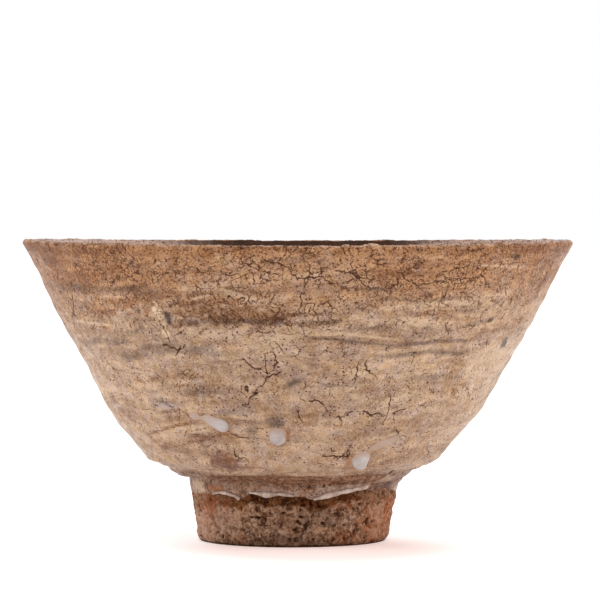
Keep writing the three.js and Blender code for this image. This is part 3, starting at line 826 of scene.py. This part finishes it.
# Small flaws, as spots: bare pale glaze, soot, thin smears of white glaze, purplish stains and pinholes
FLAWS = {
    "chips": [(-33.6, 64.2, 1.7, 2.1, 1), (-32.6, 58.7, 1.4, 1.2, 0.8), (-66, 15.4, 5, 2.2, 0.5)],
    "soot": [
        (-30.8, 62.4, 1.1, 1.9, 1), (64.8, 55, 2.2, 1.7, 1), (51.6, 61.4, 1.1, 0.8, 1),
        (51.5, 77.9, 1.3, 0.9, 1), (-5.3, 34.8, 2.5, 1.8, 0.6), (-13.3, 32.6, 1.7, 1.2, 0.45),
        (-1, 45.3, 2, 1.1, 0.55), (-41, 72.6, 0.9, 0.6, 0.7), (-38.5, 64, 0.8, 1, 0.7),
    ],
    "smears": [
        (-40.5, 38.8, 4.4, 1, 0.9), (7.3, 52.8, 0.9, 0.9, 0.5), (12.3, 35.6, 1.2, 0.8, 0.6),
        (-11, 41.6, 0.9, 0.6, 0.6), (48, 20.8, 4, 0.8, 0.6),
    ],
    "stains": [
        (-27.1, 23.8, 5, 2.9, 1), (-34, 30.2, 3.6, 1.3, 0.5), (-20, 22.4, 4, 0.9, 0.6),
        (60, 15.6, 6, 2.4, 0.9),
    ],
    "pinholes": [
        (-14.9, 68.1, 0.5, 0.5, 1), (-13.3, 43.9, 0.6, 0.9, 0.9), (-10.9, 42.7, 1.2, 0.9, 1),
        (50, 20.5, 0.7, 0.9, 0.8), (17, 16.7, 0.6, 0.6, 1), (20.2, 16.9, 0.6, 0.5, 1),
        (9.1, 16.2, 0.7, 0.6, 0.8), (38.2, 45, 0.5, 0.5, 0.9),
    ],
}
# The rust that iron left round the white runs and on the foot
HALOS = [
    (-2, 31.4, 0.7, 2.6, 0.7), (-5.2, 29, 2.5, 2, 0.35), (-23.2, 33.2, 3, 2, 0.35),
    (-31.6, 35.8, 1.8, 1.3, 0.4), (20.6, 24.2, 1, 2, 0.5), (25.6, 23.2, 2.8, 2.2, 0.2),
    (-47, 15.5, 3.4, 1.2, 0.7), (21, 17.4, 4, 0.7, 0.4), (36, 17.4, 4, 0.8, 0.5),
]
# Stretches of the hem that a pale haze of glaze runs down to: from turn to turn, and its strength
HAZE = [
    (-50, -31, 0.6), (-27, 5, 1), (8, 46, 1), (70, 110, 0.8), (130, 175, 1), (-165, -120, 1),
    (-105, -85, 0.8),
]
THROWN_CLIMB = 2.8  # the marks climb to the right across the front


def throwing_level(turn, along, place):
    """Distance along the section, measured as the marks of the throwing run."""
    return along - THROWN_CLIMB * np.sin(turn) + 2.2 * lumps(place, 21, 6.1)


def streaks(place, level, length, tall, shift=0.0):
    """A random value from -1 to 1, drawn out into marks of a length and a height."""
    drawn_out = np.stack([place[..., 0] / length, place[..., 1] / length, level / tall], axis=-1)
    return lumps(drawn_out, 1, shift)


def marked(turn, height, marks, ragged):
    """Share by how near each place is to a level mark, up to that mark's own strength."""
    total = np.zeros(turn.shape)
    turn = from_front(turn)
    for half_height, strength, path in marks:
        turns, heights = np.array(path).T
        turns = np.radians(turns)
        started = fade(turn, turns[0] - 0.08, turns[0] + 0.04)
        ended = fade(turn, turns[-1] + 0.08, turns[-1] - 0.04)
        away = np.abs(height - np.interp(turn, turns, heights)) / half_height
        total = np.maximum(total, strength * started * ended * fade(away + ragged, 1.5, 0.4))
    return total


def fired_tone(place, level):
    """How light the buff is, in long streaks with short ones and blotches over them."""
    long, short = streaks(place, level, 24, 2.8), streaks(place, level, 9, 1.2, 3.3)
    blotches = 0.18 * lumps(place, 2.2, 2.2) + 0.16 * lumps(place, 1, 8.2)
    return 0.18 * long + 0.15 * short + 0.14 * streaks(place, level, 3.5, 0.7, 5.9) + blotches


glaze_level = throwing_level(glaze_turn, glaze_along, glaze_place)
ragged = 0.8 * streaks(glaze_place, glaze_level, 6, 1.2, 1.3) + 0.5 * lumps(glaze_place, 1.2, 3.1)
crumbled = 0.5 * lumps(glaze_place, 0.9, 3.1)
on_wall = (glaze_turn, glaze_height, glaze_radius)
at_back = fade(np.abs(from_front(glaze_turn)), 1.15, 1.5)


def fired(marks, length, tall, shift, spots=()):
    """Share of a colour of the firing, as placed on the front and as random streaks on the back."""
    spotted = nearness(*on_wall, spots, ragged)
    front = np.maximum(spotted, marked(glaze_turn, glaze_height, marks, 0.5 * ragged))
    back = fade(streaks(glaze_place, glaze_level, length, tall, shift) + 0.5 * ragged, 0.3, 1.1)
    return np.maximum(front, at_back * back)


to_side = np.sin(glaze_turn) ** 2
level_place = glaze_place * (0.4, 0.4, 1)
scorch_edge = glaze_height + 6 * to_side + 5 * lumps(level_place, 7, 5.5)
scorch = fade(scorch_edge, 59, 80) * (0.85 + 0.3 * to_side)
scorch = np.maximum(scorch, nearness(*on_wall, SCORCH, ragged))
umber = fired(UMBER_MARKS, 16, 4, 2.7, UMBER)
ash = fired(ASH_MARKS, 14, 3, 7.1, ASH)
speckled = np.maximum(0.8 * scorch, umber) * (1 - 0.7 * ash) * (1 - 0.5 * to_side)
degrees_round = np.degrees(from_front(glaze_turn))
haze = sum(
    strength * fade(degrees_round, start - 3, start + 4) * fade(degrees_round, end + 3, end - 4)
    for start, end, strength in HAZE
)
glaze_marks = {
    "tone": fired_tone(glaze_place, glaze_level) - 0.2 * scorch * to_side,
    "cracks": cracked,
    "scorch": scorch,
    "umber": umber,
    "ash": ash,
    "smoke": fired(SMOKE_MARKS, 12, 1.8, 4.6),
    "halo": nearness(*on_wall, HALOS, 0.5 * ragged),
    "haze": haze * fade(glaze_along - hem_along + 2 * lumps(glaze_place, 2.6, 4.9), 4.2, 1.2),
    "speckled": speckled + 0.4 * lumps(glaze_place, 7, 2.9),
    "crazing": fade(glaze_height + 6 * lumps(glaze_place, 9, 8.8), 45, 74) * fade(to_side, 1, 0.6),
    "thin": fade(glaze_height + 0.7 * lumps(level_place, 3, 1.7), 21, 19.2),
    **{name: nearness(*on_wall, spots, crumbled) for name, spots in FLAWS.items()},
}
scars = nearness(*on_wall, [FLAWS["soot"][0], *FLAWS["pinholes"]], crumbled)
glaze_off = relief(glaze_turn, glaze_along) - np.where(glaze_hidden, UNDER_GLAZE, hem_drop)
glaze_off -= CRACK_DEPTH * cracked + SCAR_DEPTH * scars
buff_glaze = turned(
    "buff_glaze", settled(glaze_turn, *section.at(glaze_along, glaze_off)), glaze_marks,
    hard=(0, GLAZE_RINGS - 1), flipped=other_diagonal(cracked), shown=GLAZE_RINGS, strips=3,
)


def buff_layers(glaze):
    """The colours of the fired buff glaze that are the same on the wall and the lip."""
    grain = glaze.plus(glaze.painted("tone"), glaze.clouds(0.45, 3, rough=0.8), 2)
    glaze.ground(glaze.band(grain, 0.3, 1.7), (142, 106, 79), (232, 202, 172))
    glaze.dim(glaze.blotches(4, 0.48, 0.62, 0.8, detail=4, rough=0.7), (0.9, 0.95, 1.12))
    glaze.dim(glaze.blotches(4, 0.48, 0.34, 0.8, detail=4, rough=0.7), (1.02, 0.94, 0.78))
    glaze.dim(glaze.broken("scorch", 5, 0.2, 0.5, detail=5, rough=0.65), (0.86, 0.66, 0.48))


def buff_flaws(glaze):
    """Dark specks, pinholes and crazing over the colours."""
    peppered = glaze.plus(glaze.clouds(0.55, 3, rough=0.65), glaze.painted("speckled"), 0.13)
    glaze.dim(glaze.band(peppered, 0.57, 0.7, 0.85), (0.36, 0.22, 0.1))
    gathered = glaze.plus(glaze.clouds(4), glaze.painted("speckled"), 0.2)
    dots = glaze.times(glaze.specks(1.1, 0.33, 0.95), glaze.band(gathered, 0.32, 0.52, 0.95))
    glaze.lay(dots, (88, 46, 22))
    fine = glaze.times(glaze.crackle(2.6, 0.2, 0.8), glaze.blotches(2.4, 0.41, 0.54, 0.95))
    glaze.lay(glaze.times(fine, glaze.broken("crazing", 6, 0.35, 0.55)), (84, 48, 28))
    glaze.lay(glaze.band(glaze.painted("cracks"), 0.2, 0.8, 0.95), (74, 37, 16))


GLAZE_GLOSS = {"Specular_IOR_Level": 0.06, "Coat_Weight": 0.15, "Coat_Roughness": 0.2}
buff = Finish("crackled_buff_glaze", **GLAZE_GLOSS)
buff_layers(buff)
thick_tone = buff.tone
buff.ground(buff.blotches(1.5, 0.36, 0.66, detail=4, rough=0.75), (86, 51, 30), (176, 134, 106))
buff.lay(buff.broken("haze", 1, 0.3, 0.6, 0.75, detail=4, rough=0.75), (208, 186, 172))
buff.dim(buff.blotches(0.9, 0.44, 0.32, 0.9, detail=3, rough=0.7), (0.36, 0.26, 0.17))
buff.tone = buff.mix(buff.band(buff.painted("thin"), 0.1, 0.9, 0.94), thick_tone, buff.tone)
patches = buff.blotches(1.3, 0.22, 0.5, detail=4, rough=0.75)
buff.dim(buff.times(buff.painted("umber"), patches), (0.66, 0.55, 0.47))
buff.lay(buff.times(buff.band(buff.painted("ash"), 0, 1, 0.75), patches), (222, 192, 160))
buff.dim(buff.times(buff.painted("smoke"), patches), (0.52, 0.52, 0.56))
buff.lay(buff.painted("halo"), (158, 100, 56))
buff.dim(buff.painted("stains"), (0.52, 0.4, 0.385))
buff.dim(buff.painted("soot"), (0.2, 0.22, 0.26))
buff.lay(buff.band(buff.painted("smears"), 0, 1, 0.6), (200, 184, 176))
buff.lay(buff.painted("chips"), (232, 204, 172))
buff_flaws(buff)
pinholes = buff.band(buff.painted("pinholes"), 0.1, 0.9)
buff.lay(buff.times(pinholes, buff.blotches(0.5, 0.3, 0.45)), (66, 38, 24))
buff_grain = buff.bump(buff.clouds(0.45, 3), 0.12, buff.bump(buff.clouds(1.2, 3), 0.2))
buff.coat(buff_glaze, Normal=buff_grain, Roughness=buff.blotches(3, 1.2, -0.2, detail=3))
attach(buff_glaze, "root")
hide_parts("outer_glaze")

# Lip
# The same glaze, worn pale on the edge that is drunk from, with a painted highlight along that edge.
# Just inside it, it is a dark, glassy brown at the back and pale at the sides, a painted reflection of the
# side lamps. It crawled into thin flakes that stand up in places, with cracks across the edge.
LIP_RINGS = 40
LIP_HIDDEN = 8
LIP_COAT = 0.6  # from the lip's surface in to its hidden back
LIP_CRACKS = 260
LIP_CRACK_DEPTH = 0.3
DARK_TURN = 179  # the middle of the stretch at the back where the inside is dark
# Flakes: turn, half width, and how far they stand up
FLAKES = [
    (9.9, 1.5, 0.4), (14.9, 1.9, 0.45), (-63, 2, 0.15), (-38, 3, 0.15), (46, 2.6, 0.2), (58, 2, 0.15),
    (160, 3, 0.15), (-120, 2.5, 0.15), (110, 3, 0.15),
]
lip_share, lip_hidden = both_faces(LIP_RINGS, LIP_HIDDEN)
lip_turn = np.repeat(glaze_turns[None], len(lip_share), axis=0)
lip_along = lip_start - LIP_BAND + lip_share * (lip_end - lip_start + 2 * LIP_BAND)
lip_along = np.repeat(lip_along, GLAZE_COLUMNS, axis=1)
lip_cracks = []
for flake_turn, half_width, rise in FLAKES:
    spot = (math.radians(flake_turn), lip_start - LIP_BAND + 0.2)
    lip_cracks.append(drawn(wandering(*spot, math.pi / 2, 6.2), 1))
for number in range(LIP_CRACKS):
    spot = (random.uniform(-math.pi, math.pi), lip_start + random.uniform(-2, 3))
    path = wandering(*spot, random.uniform(0, 6.3), random.uniform(0.7, 4))
    strength = random.uniform(0.6, 1)
    lip_cracks.append(drawn(path, strength))
lip_cracked = np.zeros(lip_turn.shape)
lip_cracked[:LIP_RINGS] = cut(lip_turn[:LIP_RINGS], lip_along[:LIP_RINGS], lip_cracks)
lip_radius, lip_height = section.at(lip_along)
lip_place = settled(lip_turn, lip_radius, lip_height)
edge = fade(np.abs(lip_along - (lip_start + lip_end) / 2), 2.6, 0.6)
flake_spots = [(flake_turn, HEIGHT, half_width, 3, rise) for flake_turn, half_width, rise in FLAKES]
flaked = nearness(lip_turn, lip_height, lip_radius, flake_spots, 0.3 * lumps(lip_place, 1.5))
chipped = 0.14 * lumps(lip_place, 2.6, 3.9) + 0.1 * lumps(lip_place, 0.9, 1.1)
lip_worn = edge * (chipped + flaked - LIP_CRACK_DEPTH * lip_cracked)
lip_off = relief(lip_turn, lip_along) + np.where(lip_hidden, -LIP_COAT, lip_worn)
lip_level = throwing_level(lip_turn, lip_along, lip_place)
all_over = np.ones(lip_turn.shape)
lip_marks = {
    "tone": fired_tone(lip_place, lip_level) - 0.3 * np.sin(lip_turn) ** 2,
    "cracks": lip_cracked,
    "scorch": all_over,
    "speckled": 0.6 + 0.4 * lumps(lip_place, 7, 2.9),
    "crazing": all_over,
    # a pale band along the lip's top: wear, and a painted highlight on its rounded edge
    "wear_and_highlight": fade(np.abs(lip_along + 0.3 * lumps(lip_place, 2) - lip_start - 1.6), 0.9, 0.4),
    "inside": fade(lip_along + 0.4 * lumps(lip_place, 3), lip_start + 2, lip_start + 2.6),
    "dark": fade(np.cos(lip_turn - math.radians(DARK_TURN)) + 0.03 * lumps(lip_place, 4), 0.76, 0.96),
}
worn_lip_with_painted_light = turned(
    "worn_lip_with_painted_light", settled(lip_turn, *section.at(lip_along, lip_off)), lip_marks,
    hard=(0, LIP_RINGS - 1), flipped=other_diagonal(lip_cracked), shown=LIP_RINGS, strips=6,
)

wear_and_highlight = Finish("worn_lip_glaze_with_painted_light", **GLAZE_GLOSS)
buff_layers(wear_and_highlight)
# the pale of wear on the lip's edge, with a painted highlight
wear_and_highlight.lay(wear_and_highlight.broken("wear_and_highlight", 1.8, 0.3, 0.6, 0.7, detail=3), (206, 172, 152))
# inside the lip: dark brown at the back, and pale elsewhere as a painted reflection of the side lamps
wear_and_highlight.lay(wear_and_highlight.painted("inside"), wear_and_highlight.mix(wear_and_highlight.painted("dark"), (202, 174, 161), (62, 37, 20)))
buff_flaws(wear_and_highlight)
worn_dull = wear_and_highlight.band(wear_and_highlight.painted("inside"), 1.6, -0.4, 0.7)
wear_and_highlight.coat(worn_lip_with_painted_light, Normal=wear_and_highlight.bump(wear_and_highlight.clouds(0.5, 3), 0.12), Roughness=worn_dull)
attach(worn_lip_with_painted_light, "root")
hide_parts("lip_glaze")

# Inner glaze
# The same glaze laid thicker on the inside, where it pooled olive in the well over a spiral of finger
# marks. It is crazed in a finer net, stained by tea, and dark along the lip.
WELL_COLUMNS = 480
WELL_RINGS = 170
WELL_HIDDEN = 16
WELL_COAT = 0.6  # from the inner surface in to the hidden back
FINGER_SPIRAL = (0.35, 8)  # height and pitch of the finger marks on the floor
well_turns = turns_round(WELL_COLUMNS)
down_share, well_hidden = both_faces(WELL_RINGS, WELL_HIDDEN)
well_along = lip_end + LIP_BAND + down_share * (section.length - lip_end - LIP_BAND)
well_along = np.repeat(well_along, WELL_COLUMNS, axis=1)
well_radius, well_height = section.at(well_along)
well_place = settled(well_turns, well_radius, well_height)
finger_turn = 2 * math.pi * well_radius / FINGER_SPIRAL[1] - well_turns
finger_marks = FINGER_SPIRAL[0] * np.cos(finger_turn) * fade(well_radius, 0, 4)
finger_marks *= fade(well_height, FLOOR_HEIGHT + 9, FLOOR_HEIGHT + 2)
well_off = relief(well_turns, well_along) + np.where(well_hidden, -WELL_COAT, finger_marks)
stain_edge = well_along + 4 * lumps(well_place, 8) + 2 * lumps(well_place, 2)
well_marks = {
    "pooled": fade(well_height + 3 * lumps(well_place, 9), FLOOR_HEIGHT + 18, FLOOR_HEIGHT + 1),
    "dark_edge": fade(stain_edge, lip_end + 20, lip_end + 2),
    "dark": fade(np.cos(well_turns - math.radians(DARK_TURN)) + 0.05 * lumps(well_place, 4), 0.74, 0.96),
}
well_glaze = turned(
    "well_glaze", settled(well_turns, *section.at(well_along, well_off)), well_marks,
    poles=(WELL_RINGS - 1, WELL_RINGS), hard=(0,), shown=WELL_RINGS, strips=2,
)

olive = Finish("olive_well_glaze", Specular_IOR_Level=0.08)
olive.ground(olive.blotches(8, 0.36, 0.64, detail=4), (176, 148, 112), (192, 166, 130))
olive.lay(olive.blotches(1.6, 0.52, 0.72, 0.5, detail=4, stretch=(6, 6, 1)), (206, 184, 148))
olive.lay(olive.band(olive.painted("pooled"), 0.1, 0.9, 0.7), (152, 136, 96))
edge_tone = olive.mix(olive.painted("dark"), (176, 146, 124), (56, 33, 18))
olive.lay(olive.band(olive.painted("dark_edge"), 0.1, 1, 0.95), edge_tone)
olive.lay(olive.specks(1.6, 0.32, 0.35), (86, 62, 42))
olive.lay(olive.times(olive.crackle(3.2, 0.13, 0.6), olive.blotches(5, 0.35, 0.65, 0.5)), (84, 60, 40))
olive.lay(olive.times(olive.crackle(1.7, 0.1, 0.5), olive.blotches(6, 0.4, 0.6, 0.35)), (104, 78, 52))
olive_dull = olive.band(olive.painted("pooled"), 2, -0.5, 0.6)
olive.coat(well_glaze, Normal=olive.bump(olive.clouds(0.9, 3), 0.12), Roughness=olive_dull)
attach(well_glaze, "root")
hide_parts("inner_glaze")

# White runs
# Thick white glaze that dripped on to the wall and melted there as smooth beads, round below and thin
# above, with a faint smear over the right one.
SUNK = 0.12  # how far the edge of a run lies in the glaze below
BEAD_FRONT = 14  # points across a run
BEAD_BACK = 6  # and back under it
# Each run's stations: turn, height, half width and thickness
RUNS = {
    "glaze_drop_left": [
        (-33.4, 36.8, 1, 0.08), (-31.2, 36.3, 1.6, 0.3), (-29.2, 35.9, 0.9, 0.12), (-27.4, 35.7, 1.6, 0.3),
        (-25.4, 35, 2, 0.4), (-23.2, 34.1, 2.5, 0.7), (-20.6, 33.2, 2.2, 0.9),
    ],
    "glaze_drop_centre": [
        (-5.3, 33.7, 2.1, 0.1), (-5.3, 32.5, 2.4, 0.25), (-5.4, 30.8, 2.5, 0.7), (-5.6, 28.5, 2.2, 0.95),
    ],
    "glaze_drop_right": [
        (24, 26.3, 2.6, 0.1), (24.7, 25.2, 2.9, 0.35), (25.6, 23.8, 2.85, 0.8), (26.3, 22.7, 2.1, 1),
        (26.7, 21.9, 1.1, 0.9),
    ],
    "glaze_streak": [
        (26.2, 26.5, 1.2, 0.1), (29, 27.4, 1.8, 0.16), (32.6, 28.4, 2, 0.18), (35.5, 29.3, 1.7, 0.15),
        (38.6, 30.2, 1, 0.1),
    ],
}


def run_of_glaze(name, stations, steps=48, uneven=0.03):
    """A smooth bead of thick glaze that lies on the wall, from station to station."""
    turn, height, half_width, thickness = np.array(stations, float).T
    radius = np.interp(height.mean(), section.points[: len(outside), 1], section.points[: len(outside), 0])
    stops = np.linspace(0, len(stations) - 1, steps)
    across, along, half_width, thickness = (
        smoothed(np.interp(stops, np.arange(len(stations)), values), 9, OPEN_ENDS)
        for values in (np.radians(turn) * radius, along_at(height), half_width, thickness)
    )
    reach = np.concatenate([[0], np.cumsum(np.hypot(np.diff(across), np.diff(along)))])
    for end in (reach, reach[-1] - reach):
        cap = half_width[np.argmin(end)]
        rounding = np.sqrt(1 - (1 - np.clip(end / cap, 0, 1)) ** 2)
        half_width, thickness = half_width * rounding, thickness * np.sqrt(rounding)
    line = np.stack([reach, 0 * reach, 0 * reach], axis=-1)
    half_width = half_width * (1 + 3 * uneven * lumps(line + radius, 1.8))
    along = along + uneven * lumps(line - radius, 2.4)
    run = np.stack([np.gradient(across), np.gradient(along)])
    run /= np.linalg.norm(run, axis=0)
    sides = np.concatenate([np.linspace(1, -1, BEAD_FRONT), np.linspace(-0.8, 0.8, BEAD_BACK)])
    front = np.arange(len(sides)) < BEAD_FRONT
    edge_turn = (across[:, None] - sides * (half_width * run[1])[:, None]) / radius
    edge_along = along[:, None] + sides * (half_width * run[0])[:, None]
    dome = thickness[:, None] * (1 - np.abs(sides) ** 2.4) ** 0.6
    lie = relief(edge_turn, edge_along) + np.where(front, dome - SUNK, -3 * SUNK)
    rings = settled(edge_turn, *section.at(edge_along, lie))
    return turned(name, rings, {"body": np.where(front, dome, 0)}, poles=(0, steps - 1))


white = Finish("white_glaze", Specular_IOR_Level=0.4, Roughness=0.25)
white.ground(white.blotches(2, 0.35, 0.65, detail=4), (184, 173, 170), (202, 194, 191))
white.lay(white.band(white.painted("body"), 0.6, 0.02, 0.95), (186, 154, 130))
white_grain = white.bump(white.clouds(1.2), 0.06)
for node, stations in RUNS.items():
    bead = run_of_glaze(node.replace("glaze", "white"), stations)
    white.coat(bead, Normal=white_grain)
    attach(bead, "root")
    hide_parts(node)

# White rolls
# Along its hem the glaze crawled back, rolled up into three thin pale edges and melted on to the foot. The
# left one ends in a small drip.
ROLLS = {
    "glaze_roll_left": [
        (-50.5, 13.7, 0.3, 0.3), (-45, 14.2, 0.45, 0.5), (-38, 14.1, 0.5, 0.55), (-33, 13.5, 0.5, 0.55),
        (-30.5, 12.7, 0.5, 0.6),
    ],
    "glaze_roll_centre": [
        (-24.5, 14.7, 0.4, 0.3), (-19.5, 14.5, 0.6, 0.6), (-14.5, 14.1, 0.8, 0.8), (-6.8, 14.5, 0.5, 0.6),
        (1.2, 14, 0.35, 0.4),
    ],
    "glaze_roll_right": [
        (11.3, 13, 0.5, 0.5), (16, 13.5, 0.8, 0.75), (22, 14.3, 0.75, 0.75), (30, 15, 0.6, 0.65),
        (38, 15.6, 0.5, 0.6), (44, 15.8, 0.8, 0.7),
    ],
}
cream = Finish("cream_roll_glaze", Specular_IOR_Level=0.3, Roughness=0.35)
cream.ground(cream.blotches(1.3, 0.38, 0.62, detail=4), (176, 150, 134), (212, 194, 182))
cream.lay(cream.band(cream.painted("body"), 0.4, 0.02, 0.85), (148, 118, 98))
cream_grain = cream.bump(cream.clouds(0.9), 0.08)
for node, stations in ROLLS.items():
    roll = run_of_glaze(node.replace("glaze", "cream"), stations, steps=110, uneven=0.16)
    cream.coat(roll, Normal=cream_grain)
    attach(roll, "root")
    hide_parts(node)

# Table and backdrop
# A plain white sheet of paper under soft studio light, with a glow for the eye alone, bright enough to lose
# its far edge. It keeps the bowl's faint shadow, and its glow is dimmed to a pink painted shadow in front
# of the foot and to a painted contact shadow round it.
PAPER_REACH = 6000
PAPER_GLOW = (0.5, 0.5, 0.5, 1)  # what the paper adds for the eye alone, away from the bowl
PAINTED_SHADOW_GLOW = (0.27, 0.17, 0.155, 1)  # and beside its foot, dimmer and pink: a painted shadow
PAINTED_SHADOW_PLACE = (6, -34, 0)  # middle of the painted shadow
PAINTED_SHADOW_REACH = (20, 50)  # from its full depth to its edge
PAINTED_CONTACT_SHADOW = (24.6, 26.2)  # radius of the dark painted contact line round the foot, and where it ends
SKY_BACK = 0.95  # soft light from the bright backdrop
SKY_FRONT = 0.505  # and from the darker room
paper_mesh = bpy.data.meshes.new("paper")
paper_corners = np.array([(-1, -1, 0), (1, -1, 0), (1, 1, 0), (-1, 1, 0)]) * PAPER_REACH * MM
paper_mesh.from_pydata(paper_corners, [], [(0, 1, 2, 3)])
paper = bpy.data.objects.new("paper", paper_mesh)
bpy.context.scene.collection.objects.link(paper)


def seen(tree):
    """1 for what the eye sees, directly or in a gloss or glass, and 0 for light that falls on the bowl."""
    path = add_node(tree, "LightPath").outputs
    total = path["Is Camera Ray"]
    for ray in ("Is Glossy Ray", "Is Transmission Ray"):
        total = add_node(tree, "Math", {0: total, 1: path[ray]}, operation="MAXIMUM").outputs[0]
    return total


# pinkish, so that the shadows on it show a painted warm bounce from the bowl
white_paper = Finish("white_paper", Roughness=0.9, Specular_IOR_Level=0, Base_Color=(0.94, 0.89, 0.88, 1))
from_painted_shadow, from_axis = (
    white_paper.add("VectorMath", {0: white_paper.place, 1: middle}, operation="DISTANCE").outputs["Value"]
    for middle in (PAINTED_SHADOW_PLACE, (FOOT_SHIFT, 0, 0))
)
# the glow, dimmed and pink near the foot as a painted shadow
glow_colours = {0: white_paper.band(from_painted_shadow, *PAINTED_SHADOW_REACH), 6: PAINTED_SHADOW_GLOW, 7: PAPER_GLOW}
glow_with_painted_shadow = white_paper.add("Mix", glow_colours, data_type="RGBA").outputs[2]
# no glow inside the contact radius, a painted contact shadow
past_painted_contact_shadow = white_paper.times(seen(white_paper.tree), white_paper.band(from_axis, *PAINTED_CONTACT_SHADOW))
white_paper.coat(paper, Emission_Color=glow_with_painted_shadow, Emission_Strength=past_painted_contact_shadow)
world = bpy.data.worlds.new("studio")
world.use_nodes = True
bpy.context.scene.world = world
studio = world.node_tree
way = add_node(studio, "TexCoord").outputs["Generated"]
to_back = add_node(studio, "SeparateXYZ", {0: way}).outputs["Y"]
room = {"Value": to_back, "From Min": -1, "To Min": SKY_FRONT, "To Max": SKY_BACK}
room_light = add_node(studio, "MapRange", room).outputs[0]
backdrop = {"Value": seen(studio), "To Min": room_light, "To Max": 1}
sky_light = add_node(studio, "MapRange", backdrop).outputs[0]
sky = studio.nodes["Background"]
sky.inputs["Color"].default_value = (1, 1, 1, 1)
studio.links.new(sky_light, sky.inputs["Strength"])

# Lamps
# Two large soft boxes, one on each side and a little to the front, so the bowl's edges are brighter than
# its middle.
BOX_SIZE = 900
LAMPS = {"left_box": ((-1100, -250, 520), 6.4), "right_box": ((1100, -250, 560), 7.5)}  # place and power
for name, (place, power) in LAMPS.items():
    lamp = bpy.data.lights.new(name, "AREA")
    lamp.size = BOX_SIZE * MM
    lamp.energy = power
    soft_box = bpy.data.objects.new(name, lamp)
    soft_box.location = np.array(place) * MM
    aim = np.array([0, 0, HEIGHT / 2]) - place
    tilt = math.atan2(np.hypot(aim[0], aim[1]), -aim[2])
    soft_box.rotation_euler = (tilt, 0, math.atan2(-aim[0], aim[1]))
    bpy.context.scene.collection.objects.link(soft_box)

# Camera
# It stands a metre in front, a little above the lip, and sees the bowl almost level through a long lens, so
# the lip shows as a thin ellipse.
CAMERA_PLACE = (0.62, -1000, 90.8)
CAMERA_DROP = 1.4575  # degrees below level
CAMERA_LENS = 219.8
camera_data = bpy.data.cameras.new("camera")
camera_data.lens = CAMERA_LENS
camera = bpy.data.objects.new("camera", camera_data)
camera.location = np.array(CAMERA_PLACE) * MM
camera.rotation_euler = (math.radians(90 - CAMERA_DROP), 0, 0)
bpy.context.scene.collection.objects.link(camera)
bpy.context.scene.camera = camera
bpy.context.scene.view_settings.view_transform = "Standard"
